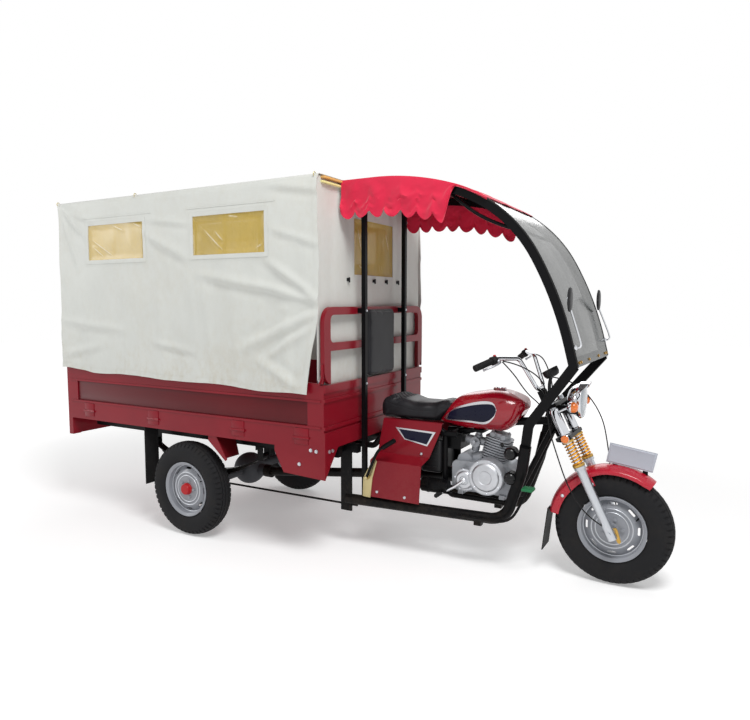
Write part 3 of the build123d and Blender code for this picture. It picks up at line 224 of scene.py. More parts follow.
# Finishes
def paint(name, color, rough=0.28, dust=0.35, coat=0.12, gloss=0.2):
    """Sprayed metal: slight orange peel, dust low down, a few rubbed spots."""
    made = Finish(name, color, rough, Coat_Roughness=0.08, Specular_IOR_Level=gloss)
    cloud = made.noise(3.2, 4, 0.6)
    grit = made.noise(60, 3, 0.7)
    low = made.span(made.axis("Z"), 0.75, 0.15)
    film = made.span(cloud * 0.6 + grit * 0.4, 0.42, 0.66) * low * dust
    dusty = tuple(0.72 * c + 0.28 * d for c, d in zip(color, DUST))
    shaded = made.mix(made.span(cloud, 0.3, 0.7) * 0.5, shade(color, 0.86), shade(color, 1.1))
    made.put("Base Color", made.mix(film, shaded, dusty))
    made.put("Roughness", rough + film * 0.4 + grit * 0.06)
    made.put("Coat Weight", coat - film * coat)
    made.bump(made.noise(420, 2, 0.5), 0.02, 0.0005)
    return made.material


def metal(name, color, rough, grain=0.0, stretch=(1, 1, 1), stain=0.3):
    """Bare or plated metal with a soft grain and dull patches."""
    made = Finish(name, color, rough, Metallic=1.0)
    cloud = made.noise(9, 4, 0.6)
    lines = made.noise(260, 2, 0.6, stretch)
    patch = made.span(cloud, 0.45, 0.75) * stain
    made.put("Base Color", made.mix(patch, color, shade(color, 0.62)))
    made.put("Roughness", rough + patch * 0.25 + lines * grain)
    made.bump(lines, 0.08, 0.0004)
    return made.material


def cast(name, color, rough=0.55):
    """Sand-cast alloy: fine pits and oily hollows."""
    made = Finish(name, color, rough, Metallic=0.75)
    pits = made.noise(520, 3, 0.7)
    cloud = made.noise(14, 4, 0.65)
    oil = made.span(cloud, 0.5, 0.72)
    made.put("Base Color", made.mix(oil * 0.55, color, shade(color, 0.45)))
    made.put("Roughness", rough + pits * 0.18 - oil * 0.15)
    made.bump(pits, 0.25, 0.0006)
    return made.material


def rubber(name, color, rough=0.72, dust=0.5):
    made = Finish(name, color, rough, Specular_IOR_Level=0.2)
    cloud = made.noise(11, 4, 0.65)
    grain = made.noise(380, 2, 0.6)
    film = made.span(cloud, 0.42, 0.7) * dust
    made.put("Base Color", made.mix(film * 0.14, color, ROAD_DUST))
    made.put("Roughness", rough + film * 0.2)
    made.bump(grain, 0.2, 0.0006)
    return made.material


def plastic(name, color, rough=0.35):
    made = Finish(name, color, rough, Specular_IOR_Level=0.3)
    grain = made.noise(300, 2, 0.5)
    cloud = made.noise(12, 3, 0.6)
    made.put("Base Color", made.mix(cloud * 0.35, color, shade(color, 0.8)))
    made.put("Roughness", rough + grain * 0.12)
    made.bump(grain, 0.06, 0.0004)
    return made.material


def vinyl(name, color):
    """Grained seat cover with a dull sheen."""
    made = Finish(name, color, 0.42, Specular_IOR_Level=0.22)
    grain = made.cells(330)
    cloud = made.noise(8, 4, 0.6)
    made.put("Base Color", made.mix(made.span(cloud, 0.35, 0.7) * 0.6, color, shade(color, 1.9)))
    made.put("Roughness", 0.36 + cloud * 0.16)
    made.bump(grain, 0.22, 0.0007)
    made.bump(cloud, 0.1, 0.003)
    return made.material


def canvas(name, color, weave=1400):
    """Coated canvas: fine weave, soft creases darkened with painted shade, and faint soiling near the
    hem.
    """
    made = Finish(name, color, 0.62, Specular_IOR_Level=0.3, Sheen_Weight=0.15)
    over = made.wave(weave, "X", 0.4)
    under = made.wave(weave, "Z", 0.4)
    creases = made.noise(5.5, 5, 0.55, (1.0, 1.0, 0.55))
    fine = made.noise(34, 4, 0.6, (1.0, 1.0, 0.7))
    blotch = made.noise(1.7, 4, 0.6)
    hem = made.span(made.axis("Z"), 1.25, 0.92)
    soil = made.span(blotch * 0.55 + fine * 0.45, 0.42, 0.7)
    tint = made.mix(soil * (0.18 + hem * 0.4), color, SOIL)
    # Painted shade: the base colour darkens along the crease pattern.
    made.put("Base Color", made.mix(made.span(creases, 0.35, 0.75) * 0.16, tint, shade(color, 0.78)))
    made.put("Roughness", 0.52 + fine * 0.2)
    made.bump(over * 0.5 + under * 0.5, 0.12, 0.0003)
    made.bump(creases * 0.75 + fine * 0.25, 0.34, 0.012)
    return made.material


def thin_cloth(name, color):
    """Light woven awning cloth with soft creases, darkened along them with painted shade."""
    made = Finish(name, color, 0.7, Specular_IOR_Level=0.25, Sheen_Weight=0.25)
    over = made.wave(1500, "X", 0.5)
    under = made.wave(1500, "Y", 0.5)
    creases = made.noise(9, 5, 0.55, (0.6, 1.4, 1.0))
    cloud = made.noise(2.4, 3, 0.6)
    # Painted shade: the colour darkens along the crease pattern.
    crease_shaded = made.mix(made.span(creases, 0.3, 0.75) * 0.3, color, shade(color, 0.72))
    made.put("Base Color", made.mix(cloud * 0.2, crease_shaded, shade(color, 1.12)))
    made.put("Roughness", 0.62 + creases * 0.2)
    made.bump(over * 0.5 + under * 0.5, 0.15, 0.0003)
    made.bump(creases, 0.3, 0.008)
    return made.material


def film(name, color, alpha, rough):
    """Clear sheet: thin, slightly hazy, with soft streaks; a painted highlight pales its colour along the
    creases.
    """
    made = Finish(name, color, rough, Specular_IOR_Level=0.22)
    streak = made.noise(6, 4, 0.6, (1.0, 1.0, 0.3))
    crease = made.span(
        made.node("ShaderNodeAttribute", {"attribute_name": "crease"}, None, "Fac"), 0.35, 0.95
    )
    hazy = made.mix(streak * 0.4, color, shade(color, 0.8))
    # Painted highlight: along the creases the colour turns towards a pale tone.
    made.put("Base Color", made.mix(crease * 0.75, hazy, CREASE_HIGHLIGHT))
    made.put("Roughness", rough + streak * 0.12)
    made.put("Alpha", made.span(streak, 0.25, 0.75, alpha - 0.1, alpha + 0.08) + crease * 0.2)
    made.bump(made.noise(7, 3, 0.5), 0.12, 0.01)
    return made.material


def lens(name, color, rough=0.12):
    made = Finish(name, color, rough, Specular_IOR_Level=0.6, Coat_Weight=0.5)
    ribs = made.cells(160)
    made.put(
        "Base Color", made.mix(made.span(ribs, 0.1, 0.6) * 0.5, shade(color, 1.15), shade(color, 0.6))
    )
    made.put("Roughness", rough + ribs * 0.1)
    made.bump(ribs, 0.3, 0.001)
    return made.material


DUST = tone(138, 122, 104)
ROAD_DUST = tone(92, 86, 78)
SOIL = tone(186, 178, 158)
# Pale tone of the painted highlight on film creases
CREASE_HIGHLIGHT = tone(238, 232, 212)
MAROON = tone(132, 16, 32)
CANVAS = tone(203, 205, 200)
RED_CLOTH = tone(206, 28, 64)
finish = {
    "black_paint": paint("black_paint", tone(13, 13, 15), 0.34, 0.3, 0.03, 0.09),
    "maroon_paint": paint("maroon_paint", MAROON, 0.3, 0.3),
    "pink_red_paint": paint("pink_red_paint", tone(188, 24, 48), 0.24, 0.25, 0.3, 0.3),
    "tank_red": paint("tank_red", tone(156, 8, 30), 0.16, 0.15, 0.5, 0.4),
    "canvas": canvas("canvas", CANVAS),
    "red_cloth": thin_cloth("red_cloth", RED_CLOTH),
    "yellow_film": film("yellow_film", tone(212, 184, 98), 0.58, 0.2),
    "clear_screen": film("clear_screen", tone(62, 66, 64), 0.74, 0.08),
    "tyre": rubber("tyre", tone(26, 26, 28)),
    "rubber": rubber("rubber", tone(24, 24, 25), 0.6, 0.3),
    "silver_steel": metal("silver_steel", tone(196, 199, 204), 0.3, 0.12, stain=0.2),
    "engine_alloy": cast("engine_alloy", tone(168, 171, 176)),
    "black_engine": cast("black_engine", tone(86, 88, 92), 0.6),
    "chrome": metal("chrome", tone(214, 216, 220), 0.06, 0.03, stain=0.1),
    "vinyl": vinyl("vinyl", tone(26, 26, 29)),
    "spring_gold": metal("spring_gold", tone(214, 150, 44), 0.3, 0.1, stain=0.15),
    "amber": lens("amber", tone(246, 122, 14)),
    "red_lens": lens("red_lens", tone(176, 12, 18)),
    "plate_white": plastic("plate_white", tone(178, 182, 192), 0.35),
    "mirror_black": plastic("mirror_black", tone(22, 22, 24), 0.38),
    "brass": metal("brass", tone(196, 158, 84), 0.3, 0.1),
    "zinc": metal("zinc", tone(190, 176, 132), 0.35, 0.1, stain=0.4),
    "mirror_glass": metal("mirror_glass", tone(200, 204, 210), 0.03, 0.01, stain=0.03),
    "navy": paint("navy", tone(20, 22, 44), 0.25, 0.1, 0.1, 0.12),
    "silver_trim": metal("silver_trim", tone(206, 206, 210), 0.25, 0.05, stain=0.1),
    "green_pad": plastic("green_pad", tone(34, 112, 70), 0.5),
    "red_cap": plastic("red_cap", tone(176, 24, 30), 0.3),
    "orange_lining": canvas("orange_lining", tone(222, 168, 88), 1200),
    "pale_lining": canvas("pale_lining", tone(232, 222, 150), 1200),
    "dark_maroon": paint("dark_maroon", tone(92, 8, 18), 0.3, 0.2),
    "bright_alloy": metal("bright_alloy", tone(196, 198, 202), 0.34, 0.1, stain=0.35),
    "black_gloss": plastic("black_gloss", tone(14, 14, 16), 0.12),
    "wheel_grey": paint("wheel_grey", tone(150, 153, 160), 0.32, 0.2, 0.2, 0.4),
    "lamp_glass": lens("lamp_glass", tone(150, 160, 168), 0.05),
}

# Every CAD node takes the finish of its slot, but the wheels take grey paint
slot_of = {part["node"]: part["material_slot"] for part in frame["record"]["subparts"]}
for name, solid in nodes.items():
    solid.data.materials.clear()
    solid.data.materials.append(finish["wheel_grey" if "_wheel" in name else slot_of[name]])


# Studio
def studio():
    bpy.ops.object.select_all(action="DESELECT")
    bpy.ops.mesh.primitive_plane_add(size=40, location=(0, 0, 0))
    floor = bpy.context.object
    floor.name = "studio_floor"
    pale = Finish("studio_floor", (0.86, 0.86, 0.86), 0.9, Specular_IOR_Level=0.0)
    far = pale.span(pale.axis("X") * pale.axis("X") + pale.axis("Y") * pale.axis("Y"), 3.0, 30.0)
    pale.put("Emission Color", pale.mix(far, (0.30, 0.30, 0.30), (0.74, 0.74, 0.74)))
    pale.put("Emission Strength", 1.0)
    grain = pale.noise(3, 2, 0.5)
    pale.put("Base Color", pale.mix(grain * 0.05, (0.86, 0.86, 0.86), (0.82, 0.82, 0.82)))
    floor.data.materials.append(pale.material)
    floor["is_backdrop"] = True
    world = bpy.data.worlds.new("studio")
    scene.world = world
    world.use_nodes = True
    tree = world.node_tree
    light = tree.nodes["Background"]
    light.inputs["Color"].default_value = (1, 1, 1, 1)
    light.inputs["Strength"].default_value = 0.32
    white = tree.nodes.new("ShaderNodeBackground")
    white.inputs["Color"].default_value = (1, 1, 1, 1)
    white.inputs["Strength"].default_value = 1.0
    path = tree.nodes.new("ShaderNodeLightPath")
    seen = path.outputs["Is Camera Ray"]
    for ray in ("Is Glossy Ray", "Is Transmission Ray"):
        either = tree.nodes.new("ShaderNodeMath")
        either.operation = "MAXIMUM"
        tree.links.new(seen, either.inputs[0])
        tree.links.new(path.outputs[ray], either.inputs[1])
        seen = either.outputs[0]
    mixer = tree.nodes.new("ShaderNodeMixShader")
    tree.links.new(seen, mixer.inputs[0])
    tree.links.new(light.outputs[0], mixer.inputs[1])
    tree.links.new(white.outputs[0], mixer.inputs[2])
    tree.links.new(mixer.outputs[0], tree.nodes["World Output"].inputs[0])
    for name, place, size, power in (
        ("key_light", (2.6, -2.4, 5.2), 2.0, 215),
        ("side_light", (-4.4, -2.4, 2.8), 1.6, 52),
        ("back_light", (-1.0, 4.2, 3.8), 3.0, 60),
    ):
        lamp = bpy.data.lights.new(name, "AREA")
        lamp.energy = power
        lamp.size = size
        holder = bpy.data.objects.new(name, lamp)
        scene.collection.objects.link(holder)
        holder.location = place
        aim = Vector((0, 0, 0.9)) - Vector(place)
        holder.rotation_mode = "QUATERNION"
        holder.rotation_quaternion = aim.to_track_quat("-Z", "Y")


studio()


HAND = {-1: "right", 1: "left"}


# Modelling helpers
def clear():
    if bpy.context.mode != "OBJECT":
        bpy.ops.object.mode_set(mode="OBJECT")
    bpy.ops.object.select_all(action="DESELECT")


def only(piece):
    clear()
    piece.select_set(True)
    bpy.context.view_layer.objects.active = piece


def settle(piece, name, look, body, smooth=None):
    """Names a piece, applies its place and gives it its finish and body."""
    only(piece)
    piece.name = name
    bpy.ops.object.transform_apply(location=True, rotation=True, scale=True)
    if smooth is not None:
        bpy.ops.object.shade_smooth_by_angle(angle=math.radians(smooth))
    piece.data.materials.clear()
    piece.data.materials.append(finish[look])
    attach(piece, body)
    return piece


def apply(piece, kind, **settings):
    only(piece)
    made = piece.modifiers.new(kind.lower(), kind)
    for key, value in settings.items():
        setattr(made, key, value)
    bpy.ops.object.modifier_apply(modifier=made.name)


def join(pieces):
    clear()
    for piece in pieces:
        piece.select_set(True)
    bpy.context.view_layer.objects.active = pieces[0]
    if len(pieces) > 1:
        bpy.ops.object.join()
    return bpy.context.object


def steps(marks, pitch):
    """Even steps between marks, so that a grid line falls on each mark."""
    line = []
    for low, high in zip(marks, marks[1:]):
        count = max(1, round(abs(high - low) / pitch))
        line += [low + (high - low) * i / count for i in range(count)]
    return line + [marks[-1]]


def grid_sheet(columns, rows, place, keep=None):
    """A grid whose point at column i and row j goes to place(columns[i], rows[j])."""
    clear()
    bpy.ops.mesh.primitive_grid_add(x_subdivisions=len(columns) - 1, y_subdivisions=len(rows) - 1, size=1)
    sheet = bpy.context.object
    across = len(columns)
    for index, vertex in enumerate(sheet.data.vertices):
        vertex.co = place(columns[index % across], rows[index // across])
    if keep:
        bpy.ops.object.mode_set(mode="EDIT")
        mesh = bmesh.from_edit_mesh(sheet.data)
        gone = []
        for face in mesh.faces:
            places = [(v.index % across, v.index // across) for v in face.verts]
            column = sum(columns[i] for i, j in places) / len(places)
            row = sum(rows[j] for i, j in places) / len(places)
            if not keep(column, row):
                gone.append(face)
        bmesh.ops.delete(mesh, geom=gone, context="FACES")
        bmesh.update_edit_mesh(sheet.data)
        bpy.ops.object.mode_set(mode="OBJECT")
    return sheet


def ripple(x, y, scale, seed=0.0):
    return noise.noise(Vector((x * scale, y * scale, seed)))


def ease(value, low, high):
    share = min(1.0, max(0.0, (value - low) / (high - low)))
    return share * share * (3 - 2 * share)


# Load cover: roof and two sides in one cloth
COVER_REAR, COVER_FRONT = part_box("cover_roof")[0].x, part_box("cover_roof")[1].x
COVER_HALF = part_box("cover_roof")[1].y
COVER_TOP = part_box("cover_roof")[1].z
EAVE_R = 0.018
BOW_AT, BOW_PITCH, ROOF_SAG = -0.345, 0.655, 0.011
SIDE_WINDOWS = ((REAR_X - 0.784, REAR_X - 0.284), (REAR_X + 0.127, REAR_X + 0.645))
WINDOW_Z = (1.672, 1.890)
HEM_REAR, HEM_FRONT = 0.966, 0.924
HEAD_TOP = 1.382
CLOTH_T = 0.0025


def hem_height(x):
    share = (x - COVER_REAR) / (COVER_FRONT - COVER_REAR)
    sway = 0.006 * math.sin(x * 9.5) + 0.010 * ripple(x, 0, 3.1, 4.0)
    return HEM_REAR + (HEM_FRONT - HEM_REAR) * share + sway


def front_edge(z):
    slant = ease(HEAD_TOP - z, 0.0, 0.46)
    return COVER_FRONT - 0.069 * slant - 0.004 * math.sin(z * 7)


# Tension folds of a side: two ends as (x ahead of the rear axle, z), height and half width
FOLDS = (
    ((-1.02, 2.010), (-0.78, 1.800), 0.010, 0.022),
    ((-1.00, 2.004), (-0.66, 1.885), 0.008, 0.020),
    ((-1.03, 1.960), (-0.90, 1.640), 0.009, 0.024),
    ((-0.30, 1.830), (0.09, 1.655), 0.010, 0.026),
    ((-0.26, 1.900), (0.12, 1.850), 0.006, 0.018),
    ((0.20, 1.560), (0.66, 1.480), 0.011, 0.026),
    ((0.62, 1.492), (0.975, 1.405), 0.013, 0.024),
    ((0.64, 1.640), (0.975, 1.425), 0.011, 0.022),
    ((0.66, 1.800), (0.985, 1.700), 0.006, 0.020),
    ((0.966, 1.350), (0.50, 1.160), 0.013, 0.030),
    ((0.950, 1.270), (0.64, 1.105), 0.010, 0.024),
    ((0.905, 0.960), (0.60, 1.080), 0.010, 0.026),
    ((-0.20, 1.165), (0.10, 1.120), 0.008, 0.020),
    ((-1.05, 1.285), (-0.50, 1.235), 0.008, 0.026),
    ((0.68, 2.020), (0.985, 1.975), 0.006, 0.020),
    ((-1.06, 1.060), (-0.70, 1.130), 0.008, 0.026),
)


FOLD_DEPTH = 1.4
HOLLOW_DEPTH, HOLLOW_ASIDE = 0.45, 1.7


def tension(x, z):
    """Height of the tension folds at a point of a side."""
    height = 0.0
    for (ax, az), (bx, bz), rise, wide in FOLDS:
        dx, dz = bx - ax, bz - az
        length = math.hypot(dx, dz)
        run = ((x - REAR_X - ax) * dx + (z - az) * dz) / length
        off = ((x - REAR_X - ax) * dz - (z - az) * dx) / length
        share = run / length
        if -0.25 < share < 1.25:
            fade = ease(share, -0.25, 0.30) * ease(1.25 - share, 0.0, 0.55)
            crest = math.exp(-((off / wide) ** 2))
            hollow = math.exp(-(((off - HOLLOW_ASIDE * wide) / wide) ** 2))
            height += FOLD_DEPTH * rise * fade * (crest - HOLLOW_DEPTH * hollow)
    return height


def side_swell(x, z, side):
    """How far the hanging cloth stands out from the flat at a point of a side."""
    drop = (COVER_TOP - z) / (COVER_TOP - HEM_FRONT)
    seed = 11.0 if side < 0 else 37.0
    loose = ease(drop, 0.02, 0.55)
    hang = ripple(x * 2.4, z * 0.35, 2.6, seed) * 0.010 * loose
    fold = ripple(x * 5.5 + 0.6 * z, z * 0.45, 2.2, seed + 3) * 0.0065 * loose
    pull = ripple(x * 1.6 - z, z * 1.8 + x, 2.4, seed + 7) * 0.0050
    tail = ease(REAR_X - 0.62 - x, 0.0, 0.45)
    gather = math.sin(z * 13 + x * 21 + 1.2 * ripple(x, z, 4, seed)) * 0.0045 * tail
    nose = ease(x - REAR_X - 0.72, 0.0, 0.26)
    tug = math.sin(z * 19 - x * 30 + seed) * 0.0040 * nose * ease(drop, 0.1, 0.4)
    flare = 0.012 * ease(drop, 0.82, 1.0) * (0.55 + 0.45 * math.sin(x * 6.3 + 1.1))
    glass = 1.0
    for low, high in SIDE_WINDOWS:
        near = max(low - x, x - high, WINDOW_Z[0] - z, z - WINDOW_Z[1])
        glass *= 0.25 + 0.75 * ease(near, 0.0, 0.12)
        if 0 <= near < 0.032:
            flare += 0.0022
    return max(-0.0015, 0.004 + (hang + fold + pull + gather + tug + tension(x, z)) * glass + flare)


ROOF_SKIN = COVER_TOP - 0.0003


def cover_point(x, s):
    side = -1 if s < 0 else 1
    run = abs(s)
    flat = COVER_HALF - EAVE_R
    bend = EAVE_R * math.pi / 2
    if run <= flat:
        span = math.sin(
            math.pi * (x - REAR_X - BOW_AT) / BOW_PITCH
        ) ** 2 * math.sin(math.pi * run / flat) ** 2
        dip = span * (ROOF_SAG + 0.008 * ripple(x * 1.4, s, 3.0, 2.0))
        return Vector((x, side * run, ROOF_SKIN - max(0.0, dip)))
    if run <= flat + bend:
        angle = (run - flat) / EAVE_R
        y = side * (flat + EAVE_R * math.sin(angle))
        return Vector((x, y, ROOF_SKIN - EAVE_R * (1 - math.cos(angle))))
    top = ROOF_SKIN - EAVE_R
    share = (run - flat - bend) / SIDE_DROP
    z = top - share * SIDE_DROP
    if z < WINDOW_Z[0]:
        fit = (z - WINDOW_Z[0]) / (HEM_FRONT - WINDOW_Z[0])
        z = WINDOW_Z[0] + (hem_height(x) - WINDOW_Z[0]) * fit
    reach = front_edge(z) - COVER_FRONT
    lead = ease(x - REAR_X - 0.66, 0.0, COVER_FRONT - REAR_X - 0.66)
    rear = 0.010 * math.sin(z * 4.2) * ease(REAR_X - 0.9 - x, 0.0, 0.19)
    return Vector((x + reach * lead + max(0.0, rear), side * (COVER_HALF + side_swell(x, z, side)), z))


SIDE_DROP = ROOF_SKIN - EAVE_R - HEM_FRONT
flat = COVER_HALF - EAVE_R
bend = EAVE_R * math.pi / 2
side_start = flat + bend
window_rows = [side_start + ROOF_SKIN - EAVE_R - z for z in reversed(WINDOW_Z)]
side_rows = steps([side_start, *window_rows, side_start + SIDE_DROP], 0.0125)
roof_rows = steps([0, flat], 0.05) + [flat + bend * i / 5 for i in range(1, 5)]
half_rows = roof_rows + side_rows
cover_rows = [-s for s in reversed(half_rows[1:])] + half_rows
cover_columns = steps([COVER_REAR, *SIDE_WINDOWS[0], *SIDE_WINDOWS[1], COVER_FRONT], 0.0135)


def cover_keep(x, s):
    if abs(s) < window_rows[0] or abs(s) > window_rows[1]:
        return True
    return not any(low < x < high for low, high in SIDE_WINDOWS)


cover = grid_sheet(cover_columns, cover_rows, cover_point, cover_keep)
apply(cover, "SOLIDIFY", thickness=CLOTH_T, offset=-1.0)
settle(cover, "canvas_cover", "canvas", "chassis", 60)
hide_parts("cover_roof", "cover_side_right", "cover_side_left")
COVER_CUT = (2 * (side_start + SIDE_DROP), COVER_FRONT - COVER_REAR)
WINDOW_CUT = sum(high - low for low, high in SIDE_WINDOWS) * (WINDOW_Z[1] - WINDOW_Z[0]) * 2

# Front cloth behind the headboard
SHEET_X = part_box("cover_front")[1].x
FRONT_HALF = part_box("cover_front")[1].y
FRONT_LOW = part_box("cover_front")[0].z
FRONT_GLASS = (0.230, 1.560, 1.870)


def front_point(y, z):
    narrow = 1.0 if z > 0.995 else 0.93
    fold = ripple(y * 3.0, z * 0.5, 2.4, 5.0) * 0.0050 + ripple(y * 7, z * 0.7, 2.0, 9.0) * 0.0022
    near = max(abs(y) - FRONT_GLASS[0], FRONT_GLASS[1] - z, z - FRONT_GLASS[2])
    return Vector((SHEET_X - 0.001 + fold * (0.2 + 0.8 * ease(near, 0.0, 0.1)), y * narrow, z))


front_columns = steps([-FRONT_HALF, -FRONT_GLASS[0], FRONT_GLASS[0], FRONT_HALF], 0.018)
front_rows = steps([FRONT_LOW, FRONT_GLASS[1], FRONT_GLASS[2], COVER_TOP - 0.008], 0.018)
front_cloth = grid_sheet(
    front_columns,
    front_rows,
    front_point,
    lambda y, z: not (abs(y) < FRONT_GLASS[0] and FRONT_GLASS[1] < z < FRONT_GLASS[2]),
)
apply(front_cloth, "SOLIDIFY", thickness=CLOTH_T, offset=0.0)
settle(front_cloth, "front_cloth", "canvas", "chassis", 60)
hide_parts("cover_front")

# Canopy cloth with scalloped valances
CANOPY_HALF = 0.388
CANOPY_Z = 2.018
RAIL_LIFT = 0.0265
CANOPY_REAR = BOX_X - 0.018
BEND_X = FRONT_X - 0.134 - 1.0264
ARC_LONG, ARC_SHORT = 1.400, 0.720
LONG_TURN, SHORT_TURN = math.radians(18), math.radians(14.3)
VALANCE_END = {-1: FRONT_X - 0.765, 1: FRONT_X - 0.655}
VALANCE_DROP = 0.150
SCALLOP_PITCH = (VALANCE_END[1] - CANOPY_REAR) / 8
SCALLOP_DEEP = 0.042
FLAT_RUN = BEND_X - CANOPY_REAR
CLOTH_RUN = FLAT_RUN + ARC_LONG * LONG_TURN + ARC_SHORT * SHORT_TURN


def canopy_line(run):
    """Place and slope of the cloth's middle line at a length from its rear edge."""
    if run <= FLAT_RUN:
        return CANOPY_REAR + run, CANOPY_Z, 0.0
    angle = min(LONG_TURN, (run - FLAT_RUN) / ARC_LONG)
    x = BEND_X + ARC_LONG * math.sin(angle)
    z = CANOPY_Z - ARC_LONG * (1 - math.cos(angle))
    rest = run - FLAT_RUN - ARC_LONG * LONG_TURN
    if rest > 0:
        turn = LONG_TURN + rest / ARC_SHORT
        x += ARC_SHORT * (math.sin(turn) - math.sin(LONG_TURN))
        z -= ARC_SHORT * (math.cos(LONG_TURN) - math.cos(turn))
        angle = turn
    return x, z, angle


def valance_depth(x, side):
    phase = ((x - CANOPY_REAR) / SCALLOP_PITCH) % 1.0
    scallop = SCALLOP_DEEP * math.sin(math.pi * phase) ** 0.7
    return 0.012 + (VALANCE_DROP + scallop) * (
        1 - ease(x, VALANCE_END[side] - 0.02, VALANCE_END[side] + 0.05)
    )


def canopy_point(run, s):
    x, z, angle = canopy_line(run)
    side = -1 if s < 0 else 1
    lift = RAIL_LIFT + 0.0015
    if abs(s) <= 1:
        crown = 0.010 * (1 - s * s) * math.sin(math.pi * min(1.0, run / CLOTH_RUN + 0.08))
        puff = (
            0.006 * ripple(run * 2.0, s, 3.0, 1.0) + 0.004 * ripple(run * 7, s * 2, 3.0, 6.0)
        ) * (1 - s * s)
        lift += crown + puff
        return Vector((x + lift * math.sin(angle), s * CANOPY_HALF, z + lift * math.cos(angle)))
    share = abs(s) - 1
    deep = valance_depth(x, side) * share
    sway = 0.016 * ripple(
        x * 5, share, 3.0, 3.0 + side
    ) + 0.008 * math.sin(x * 34 + 3 * share + side) * share
    crease = 0.010 * ripple(x * 9 + share * 3, share * 2.5, 3.0, 8.0 + side)
    out = 0.001 + max(0.0, 0.008 * share + (sway + crease) * min(1.0, 2 * share))
    return Vector(
        (x + lift * math.sin(angle), side * (CANOPY_HALF + out), z + lift * math.cos(angle) - deep)
    )


canopy_runs = steps([0, FLAT_RUN, CLOTH_RUN], SCALLOP_PITCH / 14)
valance_rows = [1 + i / 16 for i in range(1, 17)]
canopy_rows = [-r for r in reversed(valance_rows)] + [i / 20 for i in range(-20, 21)] + valance_rows
canopy = grid_sheet(canopy_runs, canopy_rows, canopy_point)
apply(canopy, "SOLIDIFY", thickness=0.0016, offset=0.0)
settle(canopy, "canopy_cloth_sewn", "red_cloth", "chassis", 50)
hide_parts("canopy_cloth")
CANOPY_CUT = (2 * CANOPY_HALF + 2 * (VALANCE_DROP + 0.05), CLOTH_RUN)
CANOPY_CUT[0] * CANOPY_CUT[1] * 0.9


def wind(points, count=8):
    """A smooth run through the points."""
    ends = [points[0], *points, points[-1]]
    run = []
    for a, b, c, d in zip(ends, ends[1:], ends[2:], ends[3:]):
        for step in range(count):
            t = step / count
            run.append(
                0.5 * (
                    2 * b
                    + (c - a) * t
                    + (2 * a - 5 * b + 4 * c - d) * t**2
                    + (3 * b - a - 3 * c + d) * t**3
                )
            )
    return run + [points[-1]]


def sweep_tube(points, radius, sides=12):
    """A closed round tube along the points; radius may be a function of the share of the length."""
    points = [Vector(p) for p in points]
    along = [(b - a).normalized() for a, b in zip(points, points[1:])]
    along.append(along[-1])
    up = Vector((0, 0, 1)) if abs(along[0].z) < 0.9 else Vector((1, 0, 0))
    frames = []
    for index, heading in enumerate(along):
        mean = (heading + along[max(0, index - 1)]).normalized()
        up = (up - mean * up.dot(mean)).normalized()
        frames.append((up, mean.cross(up)))

    def place(turn, index):
        first, second = frames[int(index)]
        size = radius(index / (len(points) - 1)) if callable(radius) else radius
        return points[int(index)] + (first * math.cos(turn) + second * math.sin(turn)) * size

    piece = grid_sheet([math.tau * i / sides for i in range(sides + 1)], list(range(len(points))), place)
    return close_up(piece)


def close_up(piece):
    """Merges seams, fills open ends and turns the faces outward."""
    only(piece)
    bpy.ops.object.mode_set(mode="EDIT")
    bpy.ops.mesh.select_all(action="SELECT")
    bpy.ops.mesh.remove_doubles(threshold=1e-6)
    bpy.ops.mesh.fill_holes(sides=0)
    bpy.ops.mesh.select_all(action="SELECT")
    bpy.ops.mesh.normals_make_consistent(inside=False)
    bpy.ops.object.mode_set(mode="OBJECT")
    return piece


def turned(profile, sides=48, closed=True):
    """A round piece about Z: the first ring is extruded and resized to each further radius and height."""
    clear()
    radius, height = profile[0]
    bpy.ops.mesh.primitive_circle_add(vertices=sides, radius=radius, location=(0, 0, height))
    piece = bpy.context.object
    bpy.ops.object.transform_apply(location=True)
    bpy.ops.object.mode_set(mode="EDIT")
    bpy.ops.mesh.select_all(action="SELECT")
    for (old, low), (new, high) in zip(profile, profile[1:]):
        bpy.ops.mesh.extrude_edges_move(TRANSFORM_OT_translate={"value": (0, 0, high - low)})
        bpy.ops.transform.resize(value=(new / old, new / old, 1), center_override=(0, 0, high))
    bpy.ops.object.mode_set(mode="OBJECT")
    return close_up(piece) if closed else piece


def aim(piece, place, heading, roll=0.0):
    """Puts a piece that was made about Z at a place, with its Z along the heading."""
    turn = Vector(heading).to_track_quat("Z", "Y")
    piece.rotation_mode = "QUATERNION"
    piece.rotation_quaternion = turn @ Quaternion((0, 0, 1), roll)
    piece.location = place
    only(piece)
    bpy.ops.object.transform_apply(location=True, rotation=True, scale=True)
    return piece


def slab(low, high, soft=0.0, rounds=2):
    """A box between two corners with bevelled edges."""
    clear()
    low, high = Vector(low), Vector(high)
    bpy.ops.mesh.primitive_cube_add(size=1, location=(low + high) / 2)
    piece = bpy.context.object
    piece.scale = high - low
    bpy.ops.object.transform_apply(location=True, rotation=True, scale=True)
    if soft:
        bpy.ops.object.mode_set(mode="EDIT")
        bpy.ops.mesh.select_all(action="SELECT")
        bpy.ops.mesh.bevel(offset=soft, segments=rounds, affect="EDGES")
        bpy.ops.object.mode_set(mode="OBJECT")
    return piece


def twin(piece):
    """A copy with a mesh of its own."""
    only(piece)
    bpy.ops.object.duplicate()
    return bpy.context.object


def shift(piece, move):
    only(piece)
    bpy.ops.transform.translate(value=move)
    bpy.ops.object.transform_apply(location=True)
    return piece


